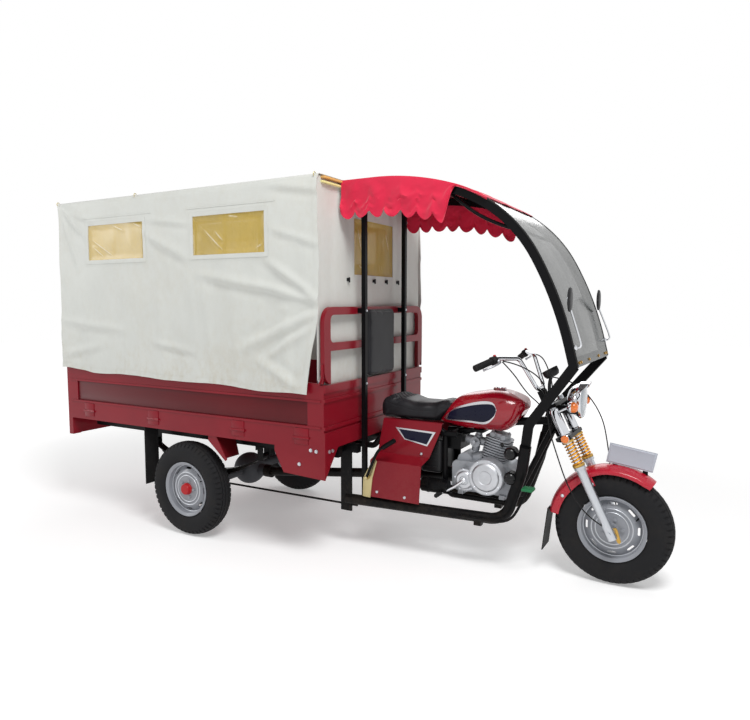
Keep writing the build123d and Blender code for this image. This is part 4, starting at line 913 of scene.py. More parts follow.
# Tyres with notched shoulders and three grooves
TYRE_R = 0.285
TREAD_PITCHES = 54
GROOVE, NOTCH = 0.005, 0.0075
TREAD_STEPS = (0.0, 0.05, 0.30, 0.35, 0.68)
TREAD = (
    (0.0, 0), (0.0105, 0), (0.0115, 1), (0.0150, 1), (0.0160, 0), (0.0285, 0), (0.0295, 1), (0.0335, 1),
    (0.0345, 0),
)
SHOULDER = ((0.0465, 0.2722, 1), (0.0525, 0.2660, 1), (0.0570, 0.2575, 0.7), (0.0598, 0.2490, 0))
WALL = (
    (0.0620, 0.2350), (0.0628, 0.2160), (0.0612, 0.1990), (0.0575, 0.1850), (0.0545, 0.1765),
    (0.0530, 0.1735),
)
BEAD = ((0.0512, 0.1742), (0.0495, 0.1680), (0.0400, 0.1664))
half_tyre = [(w, TYRE_R - 0.0065 * (w / 0.033) ** 2, cut * GROOVE, 0) for w, cut in TREAD]
half_tyre += [(w, r, 0, cut * NOTCH) for w, r, cut in SHOULDER] + [(w, r, 0, 0) for w, r in WALL + BEAD]
tyre_rows = [(-w, r, g, n) for w, r, g, n in reversed(half_tyre[1:])] + half_tyre
tyre_turns = [(p + f) / TREAD_PITCHES for p in range(TREAD_PITCHES) for f in TREAD_STEPS] + [1.0]


def tyre_point(turn, row):
    w, r, groove, notch = tyre_rows[int(row)]
    share = (turn * TREAD_PITCHES) % 1.0
    cut = notch if 0.03 < share < 0.32 else 0.0
    sway = 0.0016 if 0.2 < share < 0.6 else -0.0016
    if abs(w) < 0.036:
        w += sway
    angle = math.tau * turn + (math.pi / TREAD_PITCHES if w > 0 else 0)
    reach = r - groove - cut
    return Vector((reach * math.sin(angle), w, reach * math.cos(angle)))


tyre_model = grid_sheet(tyre_turns, list(range(len(tyre_rows))), tyre_point)
only(tyre_model)
bpy.ops.object.mode_set(mode="EDIT")
bpy.ops.mesh.select_all(action="SELECT")
bpy.ops.mesh.remove_doubles(threshold=1e-6)
bpy.ops.mesh.normals_make_consistent(inside=False)
bpy.ops.object.mode_set(mode="OBJECT")
TRACK_HALF = 0.535
WHEEL_SETS = (
    ("front_tyre", "front_wheel_set", FRONT_X, 0.0),
    ("rear_tyre_right", "rear_wheel_right_set", REAR_X, -TRACK_HALF),
    ("rear_tyre_left", "rear_wheel_left_set", REAR_X, TRACK_HALF),
)
for node, body, x, y in WHEEL_SETS:
    tyre = shift(twin(tyre_model), (x, y, AXLE_Z))
    settle(tyre, f"{node}_treaded", "tyre", body, 32)
    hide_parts(node)
bpy.data.objects.remove(tyre_model)

# Red hub caps and valves
CAP_PROFILE = (
    (0.036, 0.0), (0.036, 0.006), (0.0335, 0.009), (0.0325, 0.0215), (0.0290, 0.0262), (0.0120, 0.0278),
    (0.004, 0.0280),
)
for side, body in ((-1, "rear_wheel_right_set"), (1, "rear_wheel_left_set")):
    cap = aim(turned(CAP_PROFILE, 24), (REAR_X, side * (TRACK_HALF + 0.0355), AXLE_Z), (0, side, 0))
    settle(cap, f"hub_cap_{HAND[side]}", "red_cap", body, 35)
VALVE = ((0.0045, 0.0), (0.0045, 0.016), (0.0034, 0.018), (0.0034, 0.030), (0.001, 0.031))
for node, body, x, y in WHEEL_SETS:
    side = 1 if y > 0 else -1
    valve = aim(turned(VALVE, 12), (x + 0.118, y + side * 0.014, AXLE_Z + 0.062), (-0.2, side, -0.1))
    settle(valve, f"{body}_valve", "rubber", body, 40)

# Padded saddle, swollen by cloth pressure and then quilted
def swell(piece, voxel, cap, pressure=4.0):
    only(piece)
    piece.data.remesh_voxel_size = voxel
    bpy.ops.object.voxel_remesh()
    rest = [vertex.co.copy() for vertex in piece.data.vertices]
    cloth = piece.modifiers.new("swell", "CLOTH")
    cloth.settings.use_pressure = True
    cloth.settings.uniform_pressure_force = pressure
    cloth.settings.effector_weights.gravity = 0
    for step in range(1, 21):
        scene.frame_set(step)
    bpy.ops.object.modifier_apply(modifier=cloth.name)
    scene.frame_set(1)
    for vertex, start in zip(piece.data.vertices, rest):
        move = vertex.co - start
        if move.length > cap:
            vertex.co = start + move * (cap / move.length)
    apply(piece, "SUBSURF", levels=1, render_levels=1)


SEAT_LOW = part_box("seat")[0].z
SEAT_REAR, SEAT_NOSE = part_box("seat")[0].x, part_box("seat")[1].x
SEAT_TOP = (
    (0.0, 0.845), (0.03, 0.866), (0.14, 0.874), (0.28, 0.862), (0.52, 0.843), (0.72, 0.845),
    (0.90, 0.860), (1.0, 0.866),
)
SEAT_WIDE = ((0.0, 0.116), (0.06, 0.130), (0.30, 0.134), (0.60, 0.126), (0.80, 0.106), (1.0, 0.088))
SEAT_TUCK = 0.80


def along_table(table, share):
    for (a, low), (b, high) in zip(table, table[1:]):
        if share <= b:
            t = (share - a) / (b - a)
            return low + (high - low) * (t * t * (3 - 2 * t))
    return table[-1][1]


def seat_point(turn, share):
    top = along_table(SEAT_TOP, share)
    low = SEAT_LOW + 0.004 + (
        0.085 * ((share - SEAT_TUCK) / (1 - SEAT_TUCK)) if share > SEAT_TUCK else 0.0
    )
    wide = along_table(SEAT_WIDE, share)
    c, s = math.cos(turn), math.sin(turn)
    y = wide * math.copysign(abs(c) ** 0.42, c)
    z = (top + low) / 2 + (top - low) / 2 * math.copysign(abs(s) ** (0.62 if s > 0 else 0.30), s)
    return Vector((SEAT_REAR + 0.006 + (SEAT_NOSE - SEAT_REAR - 0.012) * share, y, z))


saddle = close_up(
    grid_sheet([math.tau * i / 48 for i in range(49)], [i / 44 for i in range(45)], seat_point)
)
swell(saddle, 0.006, 0.007)
for vertex in saddle.data.vertices:
    share = (vertex.co.x - SEAT_REAR) / (SEAT_NOSE - SEAT_REAR)
    top = along_table(SEAT_TOP, min(1, max(0, share)))
    on_top = ease(vertex.co.z, top - 0.030, top - 0.006)
    panel = on_top * ease(share, 0.03, 0.08) * ease(share, 0.36, 0.31) if share < 0.36 else 0.0
    first = abs(((vertex.co.x + vertex.co.y) / 0.034) % 1.0 - 0.5)
    second = abs(((vertex.co.x - vertex.co.y) / 0.034) % 1.0 - 0.5)
    stitch = max(ease(first, 0.36, 0.5), ease(second, 0.36, 0.5))
    vertex.co.z -= 0.0045 * panel * stitch
    seam = abs(vertex.co.z - (top - 0.040))
    if seam < 0.006 and abs(vertex.co.y) > 0.06:
        vertex.co.y *= 1 - 0.018 * (1 - seam / 0.006)
    vertex.co.z = max(vertex.co.z, SEAT_LOW + 0.0005)
settle(saddle, "saddle", "vinyl", "chassis", 70)
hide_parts("seat")

# Padded backrest on the headboard
PAD_LOW, PAD_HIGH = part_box("backrest_pad")


def pad_outline(turn, in_by):
    half_y, half_z = (PAD_HIGH.y - in_by), (PAD_HIGH.z - PAD_LOW.z) / 2 - in_by
    c, s = math.cos(turn), math.sin(turn)
    return math.copysign(abs(c) ** 0.14, c) * half_y, math.copysign(abs(s) ** 0.14, s) * half_z


PAD_ROWS = (
    (0.150, 0.0005), (0.060, 0.0005), (0.006, 0.0005), (0.003, 0.004), (0.004, 0.013), (0.012, 0.0165),
    (0.060, 0.018), (0.150, 0.019),
)


def pad_point(turn, row):
    in_by, thick = PAD_ROWS[int(row)]
    y, z = pad_outline(turn, in_by)
    return Vector((PAD_LOW.x + thick, y, (PAD_LOW.z + PAD_HIGH.z) / 2 + z))


backrest = close_up(
    grid_sheet([math.tau * i / 96 for i in range(97)], list(range(len(PAD_ROWS))), pad_point)
)
swell(backrest, 0.0055, 0.006)
for vertex in backrest.data.vertices:
    vertex.co.x = max(PAD_LOW.x + 0.0004, vertex.co.x)
    edge = max(
        abs(vertex.co.y) - (PAD_HIGH.y - 0.018),
        abs(vertex.co.z - (PAD_LOW.z + PAD_HIGH.z) / 2) - (PAD_HIGH.z - PAD_LOW.z) / 2 + 0.018,
    )
    if abs(edge) < 0.005 and vertex.co.x > PAD_LOW.x + 0.01:
        vertex.co.x -= 0.0028 * (1 - abs(edge) / 0.005)
settle(backrest, "backrest", "vinyl", "chassis", 70)
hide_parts("backrest_pad")

# Places on the raked fork: x ahead of the legs, y to the left, s up along them
FORK_AHEAD = Vector((math.cos(RAKE), 0, math.sin(RAKE)))
FORK_UP = Vector((-math.sin(RAKE), 0, math.cos(RAKE)))


def on_fork(x, y, s):
    return Vector((FRONT_X, y, AXLE_Z)) + FORK_AHEAD * x + FORK_UP * s


# Coil springs over the fork tubes, with their cups
FORK_Y = 0.105
SPRING_FOOT, SPRING_HEAD = 0.349, 0.484
SPRING_R, SPRING_WIRE, SPRING_TURNS = 0.0245, 0.0042, 8
for side in (-1, 1):
    helix = []
    for i in range(SPRING_TURNS * 28 + 1):
        share = i / (SPRING_TURNS * 28)
        turn = math.tau * SPRING_TURNS * share
        rise = SPRING_FOOT + SPRING_WIRE + (SPRING_HEAD - SPRING_FOOT - 2 * SPRING_WIRE) * share
        helix.append(on_fork(SPRING_R * math.cos(turn), side * FORK_Y + SPRING_R * math.sin(turn), rise))
    coil = sweep_tube(helix, SPRING_WIRE, 10)
    sleeve = aim(
        turned(((0.0186, 0), (0.0186, SPRING_HEAD - SPRING_FOOT)), 24),
        on_fork(0, side * FORK_Y, SPRING_FOOT),
        FORK_UP,
    )
    hand = HAND[side]
    settle(coil, f"fork_coil_{hand}", "spring_gold", "steering", 60)
    settle(sleeve, f"fork_sleeve_{hand}", "chrome", "steering", 40)
    if side < 0:
        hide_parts("fork_springs")
    CUP = ((0.020, 0), (0.0305, 0.001), (0.0310, 0.012), (0.0285, 0.014), (0.020, 0.014))
    for s in (SPRING_FOOT - 0.003, SPRING_HEAD - 0.012):
        cup = aim(turned(CUP, 32), on_fork(0, side * FORK_Y, s), FORK_UP)
        settle(cup, f"spring_cup_{hand}_{'low' if s < 0.4 else 'high'}", "brass", "steering", 40)

# Chrome shrouds on the fork tubes between the yokes
SHROUD = ((0.021, 0.512), (0.0255, 0.516), (0.0255, 0.640), (0.0225, 0.650))
for side in (-1, 1):
    shroud = aim(
        turned(tuple((r, s - 0.512) for r, s in SHROUD), 28, closed=False),
        on_fork(0, side * FORK_Y, 0.512),
        FORK_UP,
    )
    settle(shroud, f"fork_shroud_{HAND[side]}", "chrome", "steering", 40)

# Headlamp: chrome bowl and rim, ribbed glass, peak
LAMP_Z = 0.912
LAMP_BACK = FRONT_X - 0.240
BOWL = (
    (0.012, 0.0), (0.030, 0.002), (0.050, 0.010), (0.068, 0.024), (0.080, 0.042), (0.087, 0.058),
    (0.0885, 0.062),
)
RIM = (
    (0.0885, 0.062), (0.0925, 0.064), (0.0932, 0.072), (0.0915, 0.079), (0.0870, 0.0815), (0.0840, 0.079)
)
GLASS = ((0.0845, 0.0795), (0.070, 0.0845), (0.045, 0.0880), (0.020, 0.0895), (0.003, 0.0900))
bowl = aim(turned(BOWL, 64), (LAMP_BACK, 0, LAMP_Z), (1, 0, 0))
rim = aim(turned(RIM, 64, closed=False), (LAMP_BACK, 0, LAMP_Z), (1, 0, 0))
lamp_shell = join([bowl, rim])
settle(lamp_shell, "headlamp_shell", "chrome", "steering", 35)
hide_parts("headlamp")
glass = aim(turned(GLASS, 64), (LAMP_BACK, 0, LAMP_Z), (1, 0, 0))
settle(glass, "headlamp_glass", "lamp_glass", "steering", 40)
PEAK_REACH = 0.048


def peak_point(share, row):
    turn = math.radians(-62 + 124 * share)
    reach = PEAK_REACH * math.cos(math.pi * (share - 0.5)) ** 0.6
    lift = 0.0945 + 0.002 * row
    return Vector(
        (LAMP_BACK + 0.066 + reach * row, lift * math.sin(turn), LAMP_Z + lift * math.cos(turn))
    )


peak = grid_sheet([i / 40 for i in range(41)], [i / 6 for i in range(7)], peak_point)
apply(peak, "SOLIDIFY", thickness=0.0016, offset=0.0)
settle(peak, "headlamp_peak", "chrome", "steering", 45)
for side in (-1, 1):
    ear = slab(
        (FRONT_X - 0.296, side * 0.087 - 0.003, LAMP_Z - 0.060),
        (FRONT_X - 0.172, side * 0.087 + 0.003, LAMP_Z - 0.018),
        0.002,
    )
    settle(ear, f"headlamp_ear_{HAND[side]}", "black_paint", "steering", 30)

# Turn signals: chrome cups with domed amber lenses, and round reflectors
SIGNAL = (0.096, 0.146, 0.632)
SIGNAL_R = 0.026
DOME = (
    (SIGNAL_R, 0.0), (SIGNAL_R, 0.010), (0.0245, 0.020), (0.019, 0.029), (0.010, 0.0335), (0.002, 0.0342)
)
BACK = ((0.008, -0.020), (0.018, -0.016), (0.0265, -0.004), (0.0272, 0.003), (0.0262, 0.004))
REFLECTOR = ((0.0195, 0.0), (0.0195, 0.010), (0.0175, 0.0135), (0.002, 0.0150))
CUP_BACK = ((0.0212, -0.002), (0.0212, 0.006), (0.0198, 0.007))
for side in (-1, 1):
    hand = HAND[side]
    place = on_fork(SIGNAL[0], side * SIGNAL[1], SIGNAL[2])
    arm = sweep_tube(
        wind(
            [on_fork(0.018, side * FORK_Y, SIGNAL[2]), on_fork(0.075, side * 0.110, SIGNAL[2]), place]
        ), 0.0062, 12
    )
    shell = join([aim(turned(BACK, 32), place, (1, 0, 0)), arm])
    settle(shell, f"signal_cup_{hand}", "chrome", "steering", 40)
    dome = aim(turned(DOME, 32), place, (1, 0, 0))
    settle(dome, f"signal_lens_{hand}", "amber", "steering", 40)
    spot = aim(turned(REFLECTOR, 32), on_fork(0, side * (FORK_Y + 0.028), 0.497), (0, side, 0))
    settle(spot, f"reflector_{hand}", "amber", "steering", 40)
    ring = aim(
        turned(CUP_BACK, 32, closed=False), on_fork(0, side * (FORK_Y + 0.029), 0.497), (0, side, 0)
    )
    settle(ring, f"reflector_ring_{hand}", "chrome", "steering", 40)
    if side < 0:
        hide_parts("turn_signals")

# Instrument: black bowl on a stem, and its dial
DIAL_AT = on_fork(0.040, 0, 0.802)
DIAL_UP = Vector((-0.5, 0, 0.866))
CLOCK = (
    (0.020, 0.0), (0.034, 0.004), (0.0415, 0.018), (0.0425, 0.036), (0.0425, 0.043), (0.0395, 0.044),
    (0.0385, 0.040),
)
clock = aim(turned(CLOCK, 48, closed=False), DIAL_AT, DIAL_UP)
stem = sweep_tube(
    wind(
        [
            on_fork(-0.015, 0, 0.680),
            on_fork(-0.015, 0, 0.725),
            on_fork(0.006, 0, 0.775),
            on_fork(0.030, 0, 0.806),
        ]
    ), 0.009, 12
)
clock = join([clock, stem])
settle(clock, "instrument", "mirror_black", "steering", 40)
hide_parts("speedometer")
face = aim(turned(((0.0385, 0.0), (0.0010, 0.0004)), 48), DIAL_AT + DIAL_UP * 0.0405, DIAL_UP)
settle(face, "instrument_face", "silver_trim", "steering", 40)

# Grips with ribs, switch boxes, levers
BAR_MID = on_fork(-0.045, 0, 0.772)
for side in (-1, 1):
    hand = HAND[side]
    inner = BAR_MID + Vector((-0.150, side * 0.250, 0.168))
    outer = BAR_MID + Vector((-0.224, side * 0.370, 0.125))
    along = (outer - inner).normalized()
    start = inner + along * 0.038
    length = (outer - start).length + 0.004
    ribs = [(0.0128, 0.0), (0.0215, 0.0004), (0.0215, 0.005)]
    count = 18
    for i in range(count):
        low = 0.007 + (length - 0.016) * i / count
        ribs += [(0.0158, low), (0.0172, low + 0.0012), (0.0172, low + 0.0032), (0.0158, low + 0.0044)]
    ribs += [(0.0172, length - 0.006), (0.0165, length - 0.001), (0.010, length)]
    grip = aim(turned(ribs, 28), start, along)
    housing = aim(
        turned(
            (
                (0.0118, 0.0), (0.019, 0.001), (0.0205, 0.004), (0.0205, 0.020), (0.019, 0.023),
                (0.0118, 0.0235),
            ),
            28,
        ),
        inner + along * 0.013,
        along,
    )
    lever_at = inner + along * 0.024
    path = wind(
        [
            lever_at + Vector((0.016, 0, -0.002)),
            lever_at + Vector((0.034, 0, -0.008)) + along * 0.006,
            lever_at + Vector((0.040, 0, -0.010)) + along * 0.050,
            lever_at + Vector((0.034, 0, -0.012)) + along * 0.092,
            lever_at + Vector((0.036, 0, -0.010)) + along * 0.114,
        ]
    )
    lever = sweep_tube(path, lambda t: 0.0066 - 0.0020 * t + (0.0030 if t > 0.95 else 0.0), 12)
    settle(join([grip, housing]), f"grip_{hand}", "rubber", "steering", 35)
    settle(lever, f"lever_{hand}", "silver_steel", "steering", 50)
    if side < 0:
        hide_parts("hand_controls")
    button = aim(
        turned(((0.007, 0), (0.007, 0.005), (0.0055, 0.007), (0.001, 0.0075)), 16),
        inner + along * 0.024 + Vector((0, 0, 0.0195)),
        (0, 0, 1),
    )
    settle(button, f"switch_button_{hand}", "red_cap", "steering", 40)

# Number plate: bare, in a pressed frame, on two brackets
PLATE = ((-0.025, 0.712), (0.194, 0.680), (0.174, 0.584), (-0.042, 0.614))


def plate_point(u, v, y):
    (ax, az), (bx, bz), (cx, cz), (dx, dz) = PLATE
    top = Vector((ax + (bx - ax) * u, 0, az + (bz - az) * u))
    low = Vector((dx + (cx - dx) * u, 0, dz + (cz - dz) * u))
    spot = low.lerp(top, v)
    return Vector((FRONT_X + spot.x, y, spot.z))


PLATE_LINES = [0, 0.03, 0.045, 0.06, 0.5, 0.94, 0.955, 0.97, 1]
PLATE_TALL = [0, 0.06, 0.09, 0.12, 0.5, 0.88, 0.91, 0.94, 1]


def plate_relief(u, v):
    edge = min(u / 0.06, (1 - u) / 0.06, v / 0.12, (1 - v) / 0.12)
    return plate_point(u, v, -0.0045 - (0.0022 if 0.6 < edge < 0.95 else 0.0))


number_face = grid_sheet(PLATE_LINES, PLATE_TALL, plate_relief)
apply(number_face, "SOLIDIFY", thickness=0.008, offset=1.0)
settle(number_face, "number_board", "plate_white", "steering", 30)
brackets = []
for x, low, high in ((0.0, 0.6015, 0.640), (0.140, 0.565, 0.610)):
    brackets.append(slab((FRONT_X + x - 0.012, -0.005, low), (FRONT_X + x + 0.012, 0.005, high), 0.0015))
settle(join(brackets), "number_brackets", "black_paint", "steering", 30)
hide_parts("number_plate")

# Control cables: free black sheaths from the bars back into the machine
def cable_length(points):
    """Length of the order 3 curve that ends on its first and last points."""
    middles = [(a + b) / 2 for a, b in zip(points[1:-1], points[2:-1])]
    knots = [points[0], *middles, points[-1]]
    total = 0.0
    for start, bend, end in zip(knots, points[1:-1], knots[1:]):
        last = start
        for i in range(1, 41):
            t = i / 40
            spot = start * (1 - t) ** 2 + bend * 2 * t * (1 - t) + end * t**2
            total += (spot - last).length
            last = spot
    return total


def cable(name, points, thick, look="rubber"):
    """One open NURBS line through its control points."""
    data = bpy.data.curves.new(name, "CURVE")
    data.dimensions = "3D"
    line = data.splines.new("NURBS")
    line.points.add(len(points) - 1)
    for spot, point in zip(line.points, points):
        spot.co = (*point, 1)
    line.order_u = 3
    line.use_endpoint_u = True
    line.resolution_u = 10
    data.bevel_depth = thick / 2
    data.bevel_resolution = 4
    data.use_fill_caps = True
    piece = bpy.data.objects.new(name, data)
    scene.collection.objects.link(piece)
    data.materials.append(finish[look])
    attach(piece, "steering")
    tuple(points[0])
    cable_length(points)
    return piece


CABLE_T = 0.0064
right_switch = BAR_MID + Vector((-0.150, -0.250, 0.168))
left_switch = BAR_MID + Vector((-0.150, 0.250, 0.168))
brake = cable(
    "front_brake_cable",
    [
        right_switch + Vector((0.020, 0.016, -0.014)),
        right_switch + Vector((0.075, 0.090, -0.030)),
        on_fork(0.035, -0.150, 0.800),
        on_fork(-0.010, -0.166, 0.680),
        on_fork(-0.045, -0.170, 0.560),
        on_fork(-0.062, -0.168, 0.430),
        on_fork(-0.078, -0.158, 0.300),
        on_fork(-0.072, -0.150, 0.180),
        on_fork(-0.040, -0.142, 0.090),
        on_fork(-0.012, -0.118, 0.040),
    ],
    CABLE_T,
)
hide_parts("control_cables")
cable(
    "throttle_cable",
    [
        right_switch + Vector((0.016, 0.020, -0.018)),
        right_switch + Vector((0.060, 0.060, -0.075)),
        right_switch + Vector((0.090, 0.120, -0.150)),
        BAR_MID + Vector((-0.035, -0.085, -0.030)),
        on_fork(-0.070, -0.052, 0.702),
        on_fork(-0.074, -0.040, 0.679),
    ],
    CABLE_T,
)
cable(
    "clutch_cable",
    [
        left_switch + Vector((0.020, -0.016, -0.010)),
        left_switch + Vector((0.090, -0.060, 0.000)),
        left_switch + Vector((0.150, -0.110, -0.070)),
        BAR_MID + Vector((0.040, 0.105, -0.010)),
        on_fork(-0.050, 0.078, 0.715),
        on_fork(-0.064, 0.060, 0.679),
    ],
    CABLE_T,
)
cable(
    "meter_cable",
    [
        on_fork(0.030, 0.010, 0.8035),
        on_fork(0.075, 0.040, 0.770),
        on_fork(0.125, 0.125, 0.690),
        on_fork(0.150, 0.150, 0.520),
        on_fork(0.110, 0.146, 0.360),
        on_fork(0.055, 0.138, 0.190),
        on_fork(0.024, 0.118, 0.060),
    ],
    CABLE_T,
)

# Bolts: one hexagon head and one round head, copied to each place
HEX = (
    (0.0090, 0.0), (0.0090, 0.0012), (0.0072, 0.0013), (0.0072, 0.0052), (0.0062, 0.0060), (0.001, 0.0062)
)
ROUND = ((0.0075, 0.0), (0.0075, 0.0012), (0.0060, 0.0036), (0.0030, 0.0048), (0.0006, 0.0050))
hex_model = turned(HEX, 6)
round_model = turned(ROUND, 16)


def bolts(name, model, places, look, body="chassis", size=1.0):
    """Copies of a bolt at (place, heading) pairs, joined to one piece."""
    made = []
    for place, heading in places:
        bolt = twin(model)
        bolt.scale = (size, size, size)
        made.append(aim(bolt, place, heading))
    return settle(join(made), name, look, body, 30)


# Engine: cover rims, bolts, tappet caps, plug, carburettor and drain plugs
COVERS = (
    ("clutch", -1, -0.618, 0.488, 0.095, 0.158, 7),
    ("kick", -1, -0.740, 0.455, 0.062, 0.140, 5),
    ("dynamo", 1, -0.645, 0.470, 0.084, 0.150, 6),
    ("sprocket", 1, -0.740, 0.460, 0.060, 0.136, 5),
)
for label, side, x, z, radius, out, count in COVERS:
    dome = [
        (radius - 0.001, -0.010), (radius - 0.001, -0.002), (radius - 0.005, 0.001),
        (radius * 0.80, 0.002),
    ]
    dome += [
        (radius * 0.74, 0.009), (radius * 0.66, 0.0125), (radius * 0.40, 0.0130), (radius * 0.36, 0.0105)
    ]
    dome += [(radius * 0.10, 0.0105)]
    centre = (FRONT_X + x, side * out, z)
    plate_cover = aim(turned(dome, 56), centre, (0, side, 0))
    settle(plate_cover, f"{label}_cover", "bright_alloy", "chassis", 30)
    ring = []
    for i in range(count):
        turn = math.tau * (i + 0.35) / count
        spot = (
            centre[0] + radius * 0.90 * math.cos(turn),
            centre[1] + side * 0.001,
            centre[2] + radius * 0.90 * math.sin(turn),
        )
        ring.append((spot, (0, side, 0)))
    bolts(f"{label}_bolts", hex_model, ring, "silver_steel", size=0.8)

LEAN = math.radians(13)
CYLINDER_UP = Vector((math.sin(LEAN), 0, math.cos(LEAN)))
CYLINDER_AHEAD = Vector((math.cos(LEAN), 0, -math.sin(LEAN)))


def on_cylinder(x, y, s):
    return Vector((FRONT_X - 0.630, 0, 0.515)) + CYLINDER_AHEAD * x + Vector((0, y, 0)) + CYLINDER_UP * s


head_bolts = [(on_cylinder(x, y, 0.196), CYLINDER_UP) for x in (-0.036, 0.036) for y in (-0.030, 0.030)]
bolts("rocker_bolts", hex_model, head_bolts, "silver_steel", size=0.9)
tappets = []
for x in (-0.030, 0.030):
    cap = turned(
        (
            (0.0185, 0.0), (0.0185, 0.004), (0.0150, 0.0055), (0.0150, 0.010), (0.0130, 0.012),
            (0.001, 0.0125),
        ),
        24,
    )
    tappets.append(aim(cap, on_cylinder(x, -0.0415, 0.182), (0, -1, 0)))
settle(join(tappets), "tappet_caps", "engine_alloy", "chassis", 35)
plug_path = [
    on_cylinder(0.034, -0.060, 0.148),
    on_cylinder(0.046, -0.086, 0.150),
    on_cylinder(0.050, -0.108, 0.164),
]
plug = sweep_tube(wind(plug_path, 6), lambda t: 0.0095 - 0.0025 * t, 14)
settle(plug, "plug_cap", "rubber", "chassis", 40)
carb = join(
    [
        aim(
            turned(
                (
                    (0.021, 0), (0.021, 0.030), (0.017, 0.034), (0.017, 0.050), (0.013, 0.054),
                    (0.002, 0.055),
                ),
                24,
            ),
            on_cylinder(-0.118, 0, 0.112),
            CYLINDER_UP,
        ),
        aim(
            turned(((0.019, 0), (0.022, 0.010), (0.022, 0.030), (0.019, 0.034)), 24),
            on_cylinder(-0.118, 0, 0.048),
            CYLINDER_UP,
        ),
        aim(
            turned(((0.006, 0), (0.006, 0.030), (0.009, 0.031), (0.009, 0.038), (0.002, 0.039)), 14),
            on_cylinder(-0.116, -0.030, 0.108),
            (0, -1, 0.1),
        ),
    ]
)
settle(carb, "carburettor", "engine_alloy", "chassis", 35)
drain = [((FRONT_X - 0.600, 0.0, 0.3815), (0, 0, -1)), ((FRONT_X - 0.700, -0.030, 0.3815), (0, 0, -1))]
bolts("drain_plugs", hex_model, drain, "brass", size=1.2)

# Horns: two glossy black domes on the right guard
HORN_PROFILE = (
    (0.0330, 0.0), (0.0345, 0.004), (0.0335, 0.012), (0.0290, 0.021), (0.0210, 0.028), (0.0110, 0.032),
    (0.0010, 0.0332),
)
for index, z in enumerate((0.637, 0.509)):
    horn = aim(turned(HORN_PROFILE, 32), (FRONT_X - 0.478, -0.1755, z), (0, -1, 0))
    settle(horn, f"horn_dome_{index + 1}", "black_gloss", "chassis", 35)

# Decals: plain shapes only, laid on the tank and the side panels
def laid_on(target, top, low, shares, heights, lift, side_y):
    """A patch between two edge lines, dropped sideways onto a solid."""
    def place(u, v):
        index = u * (len(top) - 1)
        i = min(int(index), len(top) - 2)
        part = index - i
        return low[i].lerp(low[i + 1], part).lerp(top[i].lerp(top[i + 1], part), v)

    patch = grid_sheet(shares, heights, place)
    apply(
        patch,
        "SHRINKWRAP",
        target=target,
        wrap_method="PROJECT",
        use_project_y=True,
        use_negative_direction=side_y > 0,
        use_positive_direction=side_y < 0,
        offset=lift,
    )
    apply(patch, "SOLIDIFY", thickness=0.0006, offset=0.0)
    return close_normals(patch)


def close_normals(piece):
    only(piece)
    bpy.ops.object.mode_set(mode="EDIT")
    bpy.ops.mesh.select_all(action="SELECT")
    bpy.ops.mesh.normals_make_consistent(inside=False)
    bpy.ops.object.mode_set(mode="OBJECT")
    return piece


def spaced(low, high, count):
    return [low + (high - low) * i / count for i in range(count + 1)]


TANK_TOP = (
    (0.697, 0.776), (0.762, 0.833), (0.851, 0.868), (0.929, 0.886), (0.985, 0.882), (1.008, 0.848)
)
TANK_LOW = (
    (0.697, 0.772), (0.732, 0.764), (0.852, 0.766), (0.940, 0.764), (0.990, 0.800), (1.008, 0.846)
)
PANEL_TOP = ((0.430, 0.707), (0.515, 0.705), (0.600, 0.703), (0.676, 0.701))
PANEL_LOW = ((0.492, 0.645), (0.540, 0.637), (0.588, 0.629), (0.632, 0.621))
for side in (-1, 1):
    hand = HAND[side]
    for label, target, top, low, soft in (
        ("tank", "fuel_tank", TANK_TOP, TANK_LOW, True),
        ("panel", "side_panels", PANEL_TOP, PANEL_LOW, False),
    ):
        edges = [[Vector((x, side * 0.30, z)) for x, z in line] for line in (top, low)]
        if soft:
            edges = [wind(line, 8) for line in edges]
        border = laid_on(nodes[target], *edges, spaced(0, 1, 60), spaced(0, 1, 16), 0.0008, side)
        settle(border, f"{label}_decal_border_{hand}", "silver_trim", "chassis", 60)
        inner = (0.13, 0.945) if soft else (0.06, 0.94)
        patch = laid_on(nodes[target], *edges, spaced(*inner, 52), spaced(0.10, 0.88, 14), 0.0015, side)
        settle(patch, f"{label}_decal_{hand}", "navy", "chassis", 60)

panel_bolts = []
for side in (-1, 1):
    panel_bolts += [((x, side * 0.2625, z), (0, side, 0)) for x, z in ((0.368, 0.352), (0.540, 0.345))]
    panel_bolts.append(((0.600, side * 0.1775, 0.577), (0, side, 0.16)))
bolts("panel_bolts", round_model, panel_bolts, "silver_steel", size=1.1)

# Filler cap on the tank
CAP = (
    (0.036, 0.0), (0.037, 0.004), (0.033, 0.0085), (0.020, 0.0110), (0.018, 0.0110), (0.017, 0.0150),
    (0.010, 0.0165), (0.001, 0.0168),
)
filler = aim(turned(CAP, 40), (FRONT_X - 0.598, 0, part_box("fuel_tank")[1].z - 0.0105), (0, 0, 1))
settle(filler, "filler_cap", "chrome", "chassis", 35)

